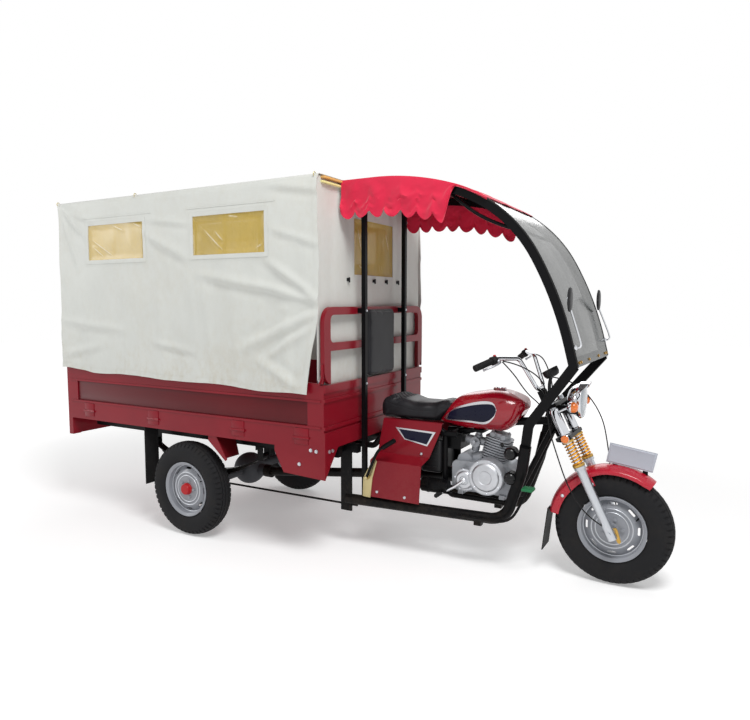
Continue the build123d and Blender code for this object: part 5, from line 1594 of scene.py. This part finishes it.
# Mirrors: rounded shells with glass behind, on bent stems
MIRROR_X, MIRROR_Y, MIRROR_Z = FRONT_X - 0.164, 0.346, 1.418
SHELL = (
    (0.030, -0.0066), (0.0375, -0.0052), (0.0380, 0.0), (0.034, 0.0046), (0.020, 0.0068), (0.001, 0.0072)
)
SCREEN_LEAN = math.radians(76)
SCREEN_OUT = Vector((math.sin(SCREEN_LEAN), 0, math.cos(SCREEN_LEAN)))
SCREEN_UP = Vector((-math.cos(SCREEN_LEAN), 0, math.sin(SCREEN_LEAN)))
for side in (-1, 1):
    hand = HAND[side]
    shell = turned(SHELL, 40)
    shell.scale = (1.47, 1.0, 1.0)
    shell = aim(shell, (MIRROR_X, side * MIRROR_Y, MIRROR_Z), (1, 0, 0), math.radians(90))
    foot = Vector((FRONT_X - 0.134, side * 0.370, 1.105)) + SCREEN_UP * 0.092 + SCREEN_OUT * 0.0235
    arm = wind(
        [
            foot,
            foot + SCREEN_OUT * 0.024,
            foot + SCREEN_OUT * 0.030 + SCREEN_UP * 0.030,
            Vector((MIRROR_X + 0.004, side * MIRROR_Y, MIRROR_Z - 0.050)),
        ]
    )
    stem = sweep_tube(arm, 0.0045, 12)
    base = aim(
        turned(((0.012, 0.0), (0.012, 0.006), (0.008, 0.010), (0.0045, 0.012)), 20), foot, SCREEN_OUT
    )
    settle(shell, f"mirror_shell_{hand}", "mirror_black", "chassis", 40)
    settle(join([stem, base]), f"mirror_stem_{hand}", "chrome", "chassis", 40)
    glass = turned(((0.0335, 0.0), (0.0330, 0.0008), (0.001, 0.0010)), 40)
    glass.scale = (1.47, 1.0, 1.0)
    glass = aim(glass, (MIRROR_X - 0.0064, side * MIRROR_Y, MIRROR_Z), (-1, 0, 0), math.radians(90))
    settle(glass, f"mirror_glass_{hand}", "mirror_glass", "chassis", 40)
    if side < 0:
        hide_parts("mirrors")

# Brass bolts along the foot of the windscreen
sill = Vector((FRONT_X - 0.134, 0, 1.105)) + SCREEN_OUT * 0.0235
screen_bolts = [
    (sill + SCREEN_UP * 0.022 + Vector((0, y, 0)), SCREEN_OUT)
    for y in (-0.345, -0.305, -0.120, 0.120, 0.305, 0.345)
]
bolts("screen_bolts", hex_model, screen_bolts, "brass", size=0.9)

# Air box behind the engine and the gear case beside the frame rail
BOX_LOW, BOX_HIGH = Vector((0.572, -0.126, 0.466)), Vector((0.6935, 0.126, 0.650))
air_box = [slab(BOX_LOW, BOX_HIGH, 0.016, 4)]
for side in (-1, 1):
    for i in range(4):
        z = BOX_LOW.z + 0.032 + 0.038 * i
        low_y, high_y = sorted((side * 0.122, side * 0.1295))
        air_box.append(
            slab((BOX_LOW.x + 0.016, low_y, z), (BOX_HIGH.x - 0.016, high_y, z + 0.008), 0.002)
        )
settle(join(air_box), "air_box", "mirror_black", "chassis", 30)
GEAR = [
    (0.020, 0.0), (0.034, 0.003), (0.0400, 0.010), (0.0400, 0.040), (0.0425, 0.042), (0.0425, 0.050),
    (0.0400, 0.052),
]
GEAR += [
    (0.0400, 0.118), (0.0425, 0.120), (0.0425, 0.128), (0.0380, 0.131), (0.0380, 0.160), (0.010, 0.160)
]
gear_case = aim(turned(GEAR, 36), (0.590, -0.150, 0.405), (1, 0, 0))
settle(gear_case, "gear_case", "black_paint", "chassis", 35)

# Brake rod under the bed, from the axle to the guard post
rod_line = [
    Vector((x, -0.250, z))
    for x, z in ((REAR_X + 0.040, 0.2440), (REAR_X + 0.400, 0.2465), (BOX_X - 0.005, 0.2505))
]
settle(
    sweep_tube(wind(rod_line, 4), 0.0062, 12), "brake_rod", "black_paint", "chassis", 40
)

# Webs that turn inward from the front edge of the bed braces
WEB_TOP, WEB_LOW = (0.240, 0.640), (0.318, 0.510)
for side in (-1, 1):
    def web_point(across, share, side=side):
        x = REAR_X + WEB_TOP[0] + (WEB_LOW[0] - WEB_TOP[0]) * share
        inner = 0.420 + 0.045 * share
        return Vector(
            (x, side * (0.574 + (inner - 0.574) * across), WEB_TOP[1] + (WEB_LOW[1] - WEB_TOP[1]) * share)
        )

    web = grid_sheet(spaced(0, 1, 6), spaced(0, 1, 6), web_point)
    apply(web, "SOLIDIFY", thickness=0.003, offset=0.0)
    apply(web, "BEVEL", width=0.0008, segments=2, limit_method="ANGLE")
    settle(close_normals(web), f"brace_web_{HAND[side]}", "dark_maroon", "chassis", 30)

# Pressed rings on the wheel discs
RINGS = (0.080, 0.099, 0.143)
WHEELS = (
    ("front_wheel", "front_wheel_set", FRONT_X, (-1, 1)),
    ("rear_wheel_right", "rear_wheel_right_set", REAR_X, (-1,)),
    ("rear_wheel_left", "rear_wheel_left_set", REAR_X, (1,)),
)
for name, body, x, faces in WHEELS:
    rings = []
    for side in faces:
        for radius in RINGS:
            turn = math.radians(20)
            start = Vector((x + radius * math.cos(turn), side * 0.9, AXLE_Z + radius * math.sin(turn)))
            spot = nodes[name].ray_cast(start, Vector((0, -side, 0)))[1]
            clear()
            bpy.ops.mesh.primitive_torus_add(
                major_radius=radius, minor_radius=0.0032, major_segments=64, minor_segments=10
            )
            ring = bpy.context.object
            bpy.ops.object.mode_set(mode="EDIT")
            bpy.ops.mesh.select_all(action="SELECT")
            bpy.ops.transform.resize(value=(1, 1, 0.7))
            bpy.ops.object.mode_set(mode="OBJECT")
            rings.append(aim(ring, (x, spot.y, AXLE_Z), (0, side, 0)))
    settle(join(rings), f"{name}_rings", "silver_steel", body, 60)
# Hand brake, foot brake and kick lever
LEVER_X, LEVER_Y = BOX_X + 0.072, -0.288
lever = wind(
    [
        Vector((LEVER_X + x, LEVER_Y, z))
        for x, z in ((0, 0.424), (0.038, 0.512), (0.076, 0.588), (0.122, 0.624), (0.178, 0.660))
    ]
)
handle = sweep_tube(lever, 0.0078, 14)
GRIP = [(0.0095, 0.0), (0.0130, 0.002), (0.0135, 0.004)]
for i in range(9):
    GRIP += [(0.0120, 0.009 + 0.0085 * i), (0.0136, 0.0115 + 0.0085 * i), (0.0136, 0.0140 + 0.0085 * i)]
GRIP += [(0.0130, 0.0900), (0.0060, 0.0930)]
grip_from, grip_to = Vector((LEVER_X + 0.105, LEVER_Y, 0.6115)), Vector((LEVER_X + 0.178, LEVER_Y, 0.660))
lever_grip = aim(turned(GRIP, 20), grip_from, grip_to - grip_from)
brake_lever = settle(join([handle, lever_grip]), "hand_brake_lever", "black_paint", "chassis", 40)
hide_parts("driver_controls")


def cut_plate(outline, thick, soft=0.001):
    """A sheet of the given outline in X and Z, extruded across and bevelled."""
    clear()
    bpy.ops.mesh.primitive_circle_add(vertices=len(outline), radius=1, fill_type="NGON")
    piece = bpy.context.object
    for vertex, (x, z) in zip(piece.data.vertices, outline):
        vertex.co = (x, 0, z)
    apply(piece, "SOLIDIFY", thickness=thick, offset=0.0)
    apply(piece, "BEVEL", width=soft, segments=2)
    return close_normals(piece)


GUARD_AT = 0.2335
quadrant = cut_plate(
    [
        (LEVER_X + x, z)
        for x, z in (
            (-0.034, 0.316), (0.016, 0.314), (0.030, 0.430), (0.058, 0.524), (0.040, 0.548),
            (-0.004, 0.470), (-0.030, 0.420),
        )
    ],
    0.006,
)
quadrant = shift(quadrant, (0, -GUARD_AT - 0.030, 0))
pivot = aim(
    turned(((0.012, 0.0), (0.012, 0.034), (0.008, 0.037), (0.001, 0.0375)), 20),
    (LEVER_X, -GUARD_AT - 0.030, 0.430),
    (0, -1, 0),
)
settle(join([quadrant, pivot]), "hand_brake_bracket", "zinc", "chassis", 30)

PEDAL_Y = -0.219
pedal = sweep_tube(
    wind(
        [
            Vector((FRONT_X + x, PEDAL_Y, z))
            for x, z in (
                (-0.750, 0.283), (-0.640, 0.283), (-0.530, 0.284), (-0.455, 0.318), (-0.405, 0.405),
                (-0.375, 0.472),
            )
        ]
    ),
    0.0068,
    14,
)
settle(pedal, "foot_brake_arm", "black_paint", "chassis", 40)
pad_at = Vector((FRONT_X - 0.372, PEDAL_Y, 0.4705))
pads = [slab(pad_at + Vector((-0.028, -0.030, 0)), pad_at + Vector((0.028, 0.030, 0.0135)), 0.003)]
for i in range(5):
    x = -0.022 + 0.011 * i
    pads.append(
        slab(
            pad_at + Vector((x - 0.0025, -0.026, 0.012)),
            pad_at + Vector((x + 0.0025, 0.026, 0.0165)),
            0.001,
        )
    )
settle(join(pads), "foot_brake_pad", "green_pad", "chassis", 30)

KICK_AT = Vector((FRONT_X - 0.740, -0.158, 0.455))
kick = wind(
    [
        KICK_AT + Vector(p)
        for p in (
            (0, -0.004, 0), (-0.020, -0.006, -0.015), (-0.060, -0.008, -0.045), (-0.130, -0.014, -0.083)
        )
    ]
)
kick_arm = sweep_tube(kick, lambda t: 0.0095 - 0.0025 * t, 14)
kick_hub = aim(
    turned(((0.013, 0.0), (0.014, 0.003), (0.014, 0.019), (0.011, 0.022), (0.001, 0.0225)), 24),
    KICK_AT + Vector((0, 0.012, 0)),
    (0, -1, 0),
)
settle(join([kick_arm, kick_hub]), "kick_lever", "chrome", "chassis", 40)
TREAD_RUBBER = [(0.007, 0.0), (0.0112, 0.001)]
for i in range(6):
    TREAD_RUBBER += [
        (0.0118, 0.004 + 0.010 * i), (0.0100, 0.0085 + 0.010 * i), (0.0100, 0.0110 + 0.010 * i)
    ]
TREAD_RUBBER += [(0.0112, 0.065), (0.004, 0.066)]
kick_rubber = aim(turned(TREAD_RUBBER, 20), KICK_AT + Vector((-0.126, -0.012, -0.081)), (0, -1, 0))
settle(kick_rubber, "kick_rubber", "rubber", "chassis", 40)

# Front fender: crowned sheet with rolled edges, stays at the fork legs, rubber flap
FENDER_TURN = (53, 171)
FENDER_ROWS = (
    (0.0, 0.3178), (0.016, 0.3168), (0.032, 0.3136), (0.047, 0.3088), (0.060, 0.3030), (0.068, 0.2985)
)
FENDER_LIP = ((0.0724, 0.0), (0.0738, 0.45), (0.0742, 0.85), (0.0734, 1.0), (0.0722, 0.94))


def fender_rows():
    half = [(y, r, 0.0) for y, r in FENDER_ROWS] + [(y, 0.2945, drop) for y, drop in FENDER_LIP]
    return [(-y, r, drop) for y, r, drop in reversed(half[1:])] + half


FENDER_LINE = fender_rows()


def fender_point(degrees, row):
    y, r, drop = FENDER_LINE[int(row)]
    deep = 0.014 + 0.020 * ease(degrees, 96, 140)
    start, end = FENDER_TURN
    slim = 1 - 0.20 * (1 - ease(degrees, start, start + 7)) - 0.06 * ease(degrees, end - 8, end)
    angle = math.radians(degrees)
    reach = r - deep * drop
    return Vector((FRONT_X + reach * math.cos(angle), y * slim, AXLE_Z + reach * math.sin(angle)))


fender = grid_sheet(spaced(*FENDER_TURN, 84), list(range(len(FENDER_LINE))), fender_point)
apply(fender, "SOLIDIFY", thickness=0.0018, offset=0.0)
close_normals(fender)
stays = []
for side in (-1, 1):
    stay = slab((-0.021, side * 0.0700 - 0.002, 0.228), (0.024, side * 0.0700 + 0.002, 0.293), 0.0012)
    for vertex in stay.data.vertices:
        vertex.co = on_fork(*vertex.co)
    stays.append(stay)
fender = settle(
    join([fender, *stays]), "fender_sheet", "pink_red_paint", "steering", 40
)
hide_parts("front_fender")
stay_bolts = []
for side in (-1, 1):
    stay_bolts.append((on_fork(0.012, side * 0.0720, 0.240), (0, side, 0)))
    stay_bolts.append((on_fork(-0.150, side * 0.0765, 0.232), (0, side, 0)))
bolts("stay_bolts", hex_model, stay_bolts, "silver_steel", "steering")


def flap_point(y, share):
    bow = 0.006 * math.sin(math.pi * share) * (1 - (y / 0.070) ** 2)
    x = -0.311 - 0.026 * share - bow
    return Vector((FRONT_X + x, y, 0.348 - 0.226 * share))


flap = grid_sheet(spaced(-0.068, 0.068, 16), spaced(0, 1, 24), flap_point)
apply(flap, "SOLIDIFY", thickness=0.0045, offset=0.0)
settle(close_normals(flap), "front_flap", "rubber", "steering", 40)

# Trim along the edges of the windscreen, following its bends
SCREEN_FOOT = Vector((FRONT_X - 0.134, 0, 1.105))
SCREEN_BENDS = ((1.700, 15), (0.720, 31))
SCREEN_RUN = 0.0988


def screen_line(lift):
    """Points up the middle of the windscreen, at a distance outward from the rails."""
    slope = SCREEN_LEAN
    spot = SCREEN_FOOT + SCREEN_UP * 0.006
    line = [spot, SCREEN_FOOT + SCREEN_UP * SCREEN_RUN]
    out = [slope, slope]
    for radius, sweep in SCREEN_BENDS:
        for i in range(12):
            step = math.radians(sweep) / 12
            slope -= step
            heading = Vector((-math.cos(slope + step / 2), 0, math.sin(slope + step / 2)))
            line.append(line[-1] + heading * (radius * step))
            out.append(slope)
    return [p + Vector((math.sin(s), 0, math.cos(s))) * lift for p, s in zip(line, out)]


edges = []
for side in (-1, 1):
    edges.append(sweep_tube([p + Vector((0, side * 0.3800, 0)) for p in screen_line(0.0215)], 0.0042, 10))
settle(join(edges), "screen_edging", "rubber", "chassis", 50)

# Thin braces under the canopy rails, and two bows that carry the cloth
BRACE_Y, BRACE_DROP = 0.352, 0.050
BRACE_RUN = (FLAT_RUN + 0.42, FLAT_RUN + 0.80)
CLOTH_BOWS = (FLAT_RUN + 0.46, FLAT_RUN + 0.60)
braces = []
for side in (-1, 1):
    line = []
    for i in range(25):
        share = i / 24
        x, z, angle = canopy_line(BRACE_RUN[0] + (BRACE_RUN[1] - BRACE_RUN[0]) * share)
        drop = 0.012 + BRACE_DROP * math.sin(math.pi * share) ** 0.8
        line.append(Vector((x - drop * math.sin(angle), side * BRACE_Y, z - drop * math.cos(angle))))
    braces.append(sweep_tube(line, 0.0085, 12))
for run in CLOTH_BOWS:
    x, z, angle = canopy_line(run)
    braces.append(sweep_tube([Vector((x, y, z + 0.004)) for y in spaced(-0.360, 0.360, 6)], 0.0085, 12))
settle(join(braces), "canopy_braces", "black_paint", "chassis", 40)

# Brake arm inside the right fork leg
ARM = (
    (-0.004, 0.014), (0.026, 0.022), (0.034, 0.010), (0.052, -0.046), (0.044, -0.056), (0.034, -0.050),
    (0.016, -0.008), (-0.004, -0.012),
)
arm = cut_plate([(FRONT_X + x, AXLE_Z + z) for x, z in ARM], 0.006)
settle(shift(arm, (0, -0.0815, 0)), "brake_arm", "brass", "steering", 30)

# Dark painted band on each side board
SIDE_Y = 0.585
BAND_Z = (0.757, 0.885)
BAND_X = (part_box("side_board_right")[0].x + 0.065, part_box("side_board_right")[1].x - 0.085)
BAND_BACK = SIDE_Y - 0.007
for side in (-1, 1):
    low_y, high_y = sorted((side * (BAND_BACK + 0.0002), side * (BAND_BACK + 0.0022)))
    band = slab(
        (BAND_X[0] + 0.002, low_y, BAND_Z[0] + 0.002),
        (BAND_X[1] - 0.002, high_y, BAND_Z[1] - 0.002),
        0.0008,
    )
    settle(band, f"board_band_{HAND[side]}", "dark_maroon", "chassis", 30)

# Hinges under the side boards, latches on the posts, bolts on the skirts
HINGE_X = (REAR_X - 0.86, REAR_X - 0.26, REAR_X + 0.42, REAR_X + 0.86)
for side in (-1, 1):
    hand = HAND[side]
    knuckles = []
    for x in HINGE_X:
        low_y, high_y = sorted((side * (SIDE_Y - 0.002), side * (SIDE_Y + 0.004)))
        knuckles.append(slab((x - 0.045, low_y, 0.655), (x + 0.045, high_y, 0.742), 0.0015))
        pin = turned(((0.0065, -0.052), (0.0065, 0.052)), 16)
        knuckles.append(aim(pin, (x, side * (SIDE_Y + 0.004), 0.690), (1, 0, 0)))
    settle(join(knuckles), f"board_hinges_{hand}", "maroon_paint", "chassis", 30)
    low_y, high_y = sorted((side * SIDE_Y, side * (SIDE_Y + 0.009)))
    catch = slab((BOX_X - 0.020, low_y, 0.985), (BOX_X - 0.004, high_y, 1.085), 0.002)
    grip = sweep_tube(
        wind(
            [
                Vector((BOX_X - 0.012, side * (SIDE_Y + 0.008), 1.070)),
                Vector((BOX_X - 0.012, side * (SIDE_Y + 0.011), 1.020)),
                Vector((BOX_X - 0.030, side * (SIDE_Y + 0.010), 0.975)),
            ]
        ),
        0.0042,
        10,
    )
    settle(join([catch, grip]), f"post_latch_{hand}", "maroon_paint", "chassis", 30)
SKIRT_HOLES = ((BOX_X - 0.055, 0.625), (BOX_X - 0.090, 0.628), (BOX_X - 0.165, 0.545))
skirt_bolts = []
for side in (-1, 1):
    skirt_bolts += [((x, side * (SIDE_Y + 0.0002), z), (0, side, 0)) for x, z in SKIRT_HOLES]
    skirt_bolts += [((BOX_X + 0.0002, side * y, 0.622), (1, 0, 0)) for y in (0.545, 0.515)]
bolts("skirt_bolts", hex_model, skirt_bolts, "silver_steel", size=1.2)
post_bolts = [((BOX_X + 0.0508, side * 0.242, z), (1, 0, 0)) for side in (-1, 1) for z in (1.360, 0.955)]
bolts("post_bolts", hex_model, post_bolts, "silver_steel", size=0.9)

# Hems, window borders and flap seams sewn on the cover
HEM_W = 0.030
SEW = 0.0012


def sewn(columns, rows, side, name, keep=None):
    """A strip of the cover's own surface, lifted by a cloth's thickness."""
    def place(x, s):
        spot = cover_point(x, side * s)
        return spot + Vector((0, side * SEW, 0))

    strip = grid_sheet(columns, rows, place, keep)
    apply(strip, "SOLIDIFY", thickness=0.0016, offset=0.0)
    settle(close_normals(strip), name, "canvas", "chassis", 50)
    return strip


SIDE_END = side_start + SIDE_DROP
for side in (-1, 1):
    hand = HAND[side]
    sewn(
            steps([COVER_REAR, COVER_FRONT], 0.0135),
            spaced(SIDE_END - HEM_W, SIDE_END, 3),
            side,
            f"cover_hem_{hand}",
        )
    sewn(
            spaced(COVER_FRONT - HEM_W, COVER_FRONT, 3),
            steps([side_start, SIDE_END - HEM_W], 0.0125),
            side,
            f"front_hem_{hand}",
        )
    for index, (low, high) in enumerate(SIDE_WINDOWS):
        wide = [low - 0.024, low, *steps([low, high], 0.0135)[1:], high + 0.024]
        tall = [window_rows[0] - 0.024, *steps(window_rows, 0.0125), window_rows[1] + 0.024]
        sewn(
                wide,
                tall,
                side,
                f"window_border_{hand}_{index + 1}",
                lambda x, s, a=low, b=high: not (a < x < b and window_rows[0] < s < window_rows[1]),
            )
    for index, (low, high) in enumerate(SIDE_WINDOWS):
        flap = steps([low - 0.05, high + 0.07], 0.0135)
        sewn(
                flap,
                spaced(window_rows[0] - 0.050, window_rows[0] - 0.043, 1),
                side,
                f"flap_seam_{hand}_{index + 1}",
            )
COVER_CUT[0] * COVER_CUT[1] - WINDOW_CUT - 0.06

# Window films behind the openings, creased, with a painted highlight along the creases
FILM_T, FILM_LAP = 0.0008, 0.020
CREASES = (
    (
        ((0.02, 0.64), (0.50, 0.02)), ((0.05, 0.42), (0.30, 0.04)), ((0.42, 0.99), (0.68, 0.76)),
        ((0.80, 1.0), (0.97, 0.84)),
    ),
    (
        ((0.10, 0.76), (0.46, 0.02)), ((0.30, 0.62), (0.44, 0.30)), ((0.48, 0.96), (0.66, 0.90)),
        ((0.86, 0.10), (0.97, 0.22)),
    ),
    (((0.08, 0.95), (0.22, 0.30)), ((0.80, 0.90), (0.93, 0.45)), ((0.10, 0.20), (0.30, 0.06))),
)


def creased(u, v, wide, tall, lines):
    """How near a point of a film is to a crease, from 0 to 1."""
    most = 0.0
    for (au, av), (bu, bv) in lines:
        start = Vector((au * wide, av * tall))
        run = Vector((bu * wide, bv * tall)) - start
        spot = Vector((u * wide, v * tall)) - start
        share = min(1.0, max(0.0, spot.dot(run) / run.length_squared))
        most = max(most, math.exp(-(spot - run * share).length / 0.007) * (1 - abs(2 * share - 1) ** 3))
    return most


def window_film(name, first, second, base, inward, lines):
    """A film that laps its opening; first and second are the spans of its two ways."""
    wide, tall = first[1] - first[0], second[1] - second[0]
    columns = steps([first[0] - FILM_LAP, *first, first[1] + FILM_LAP], 0.0065)
    rows = steps([second[0] - FILM_LAP, *second, second[1] + FILM_LAP], 0.0065)

    def height(a, b):
        return creased((a - first[0]) / wide, (b - second[0]) / tall, wide, tall, lines)

    def place(a, b):
        rim = min(a - first[0], first[1] - a, b - second[0], second[1] - b)
        sink = (
            0.0045 * (1 - height(a, b)) + 0.003 * ripple(a * 3, b * 3, 3.0, 6.0)
        ) * ease(rim, 0.0, 0.03)
        return base(a, b) + inward * (CLOTH_T + FILM_T + max(0.0, sink))

    made = grid_sheet(columns, rows, place)
    across = len(columns)
    # The crease attribute is the mask of the film's painted highlight.
    glint = made.data.attributes.new("crease", "FLOAT", "POINT")
    for index, item in enumerate(glint.data):
        item.value = height(columns[index % across], rows[index // across])
    apply(made, "SOLIDIFY", thickness=FILM_T, offset=0.0)
    settle(close_normals(made), name, "yellow_film", "chassis", 60)
    wide + 2 * FILM_LAP
    tall + 2 * FILM_LAP
    return made


def flip_rows(lines):
    return [((au, 1 - av), (bu, 1 - bv)) for (au, av), (bu, bv) in lines]


for side in (-1, 1):
    hand = HAND[side]
    for index, span in enumerate(SIDE_WINDOWS):
        window_film(
                f"window_film_{hand}_{index + 1}",
                span,
                window_rows,
                lambda x, s, side=side: cover_point(x, side * s),
                Vector((0, -side, 0)),
                flip_rows(CREASES[index]),
            )
window_film(
        "window_film_front",
        (-FRONT_GLASS[0], FRONT_GLASS[0]),
        FRONT_GLASS[1:],
        front_point,
        Vector((-1, 0, 0)),
        CREASES[2],
    )
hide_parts("cover_windows")

# Clips under the front window
clips = []
for y in (-0.300, -0.010, 0.140, 0.290):
    spot = front_point(y, FRONT_GLASS[1] - 0.030)
    clips.append(slab(spot + Vector((0, -0.014, -0.009)), spot + Vector((0.010, 0.014, 0.009)), 0.003))
    clips.append(
        slab(spot + Vector((0.008, -0.005, -0.016)), spot + Vector((0.015, 0.005, 0.012)), 0.002)
    )
settle(join(clips), "window_clips", "mirror_black", "chassis", 30)

# Hooks along the eaves
HOOKS = (COVER_REAR + 0.012, REAR_X - 0.345, COVER_FRONT - 0.020)
for side in (-1, 1):
    hooks = []
    for x in HOOKS:
        eave = Vector((x, side * (COVER_HALF - 0.010), COVER_TOP + 0.001))
        bend = [
            eave,
            eave + Vector((0, side * 0.010, 0.004)),
            eave + Vector((0, side * 0.018, -0.004)),
            eave + Vector((0, side * 0.015, -0.016)),
        ]
        hooks.append(sweep_tube(wind(bend, 6), 0.0026, 10))
    settle(join(hooks), f"eave_hooks_{HAND[side]}", "zinc", "chassis", 40)

# Lining strips that show at the front of the roof
for index, (look, low_z, ahead) in enumerate(
    (("orange_lining", 2.034, 0.016), ("pale_lining", 2.012, 0.008))
):
    strip = slab((COVER_FRONT - 0.012, -0.560, low_z), (COVER_FRONT + ahead, 0.560, low_z + 0.010), 0.002)
    settle(strip, f"roof_lining_{index + 1}", look, "chassis", 30)

# Rear curtain, rolled up under the roof and strapped
ROLL_LOW, ROLL_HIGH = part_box("rear_curtain")
ROLL_X, ROLL_Z = (ROLL_LOW.x + ROLL_HIGH.x) / 2, (ROLL_LOW.z + ROLL_HIGH.z) / 2
ROLL_CORE, ROLL_OUT, ROLL_TURNS = 0.009, 0.0318, 6.25
ROLL_STEPS = 250


def roll_point(y, step):
    share = step / ROLL_STEPS
    turn = math.tau * ROLL_TURNS * share + math.radians(200)
    sag = 0.0010 * ripple(y, share, 6.0, 8.0)
    radius = ROLL_CORE + (ROLL_OUT - ROLL_CORE) * share + sag
    return Vector((ROLL_X + radius * math.cos(turn), y, ROLL_Z + radius * math.sin(turn)))


roll = grid_sheet(steps([ROLL_LOW.y, ROLL_HIGH.y], 0.037), list(range(ROLL_STEPS + 1)), roll_point)
apply(roll, "SOLIDIFY", thickness=0.0018, offset=0.0)
settle(close_normals(roll), "rolled_curtain", "canvas", "chassis", 60)
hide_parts("rear_curtain")
straps = []
for y in (-0.36, 0.0, 0.36):
    band = turned(
        ((0.0330, -0.012), (0.0342, -0.0115), (0.0342, 0.0115), (0.0330, 0.012)), 40, closed=False
    )
    straps.append(aim(band, (ROLL_X, y, ROLL_Z), (0, 1, 0)))
settle(join(straps), "curtain_straps", "rubber", "chassis", 40)
for model in (hex_model, round_model):
    bpy.data.objects.remove(model)

low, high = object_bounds()
{"cad": [list(cad_low), list(cad_high)], "visual": [list(low), list(high)]}
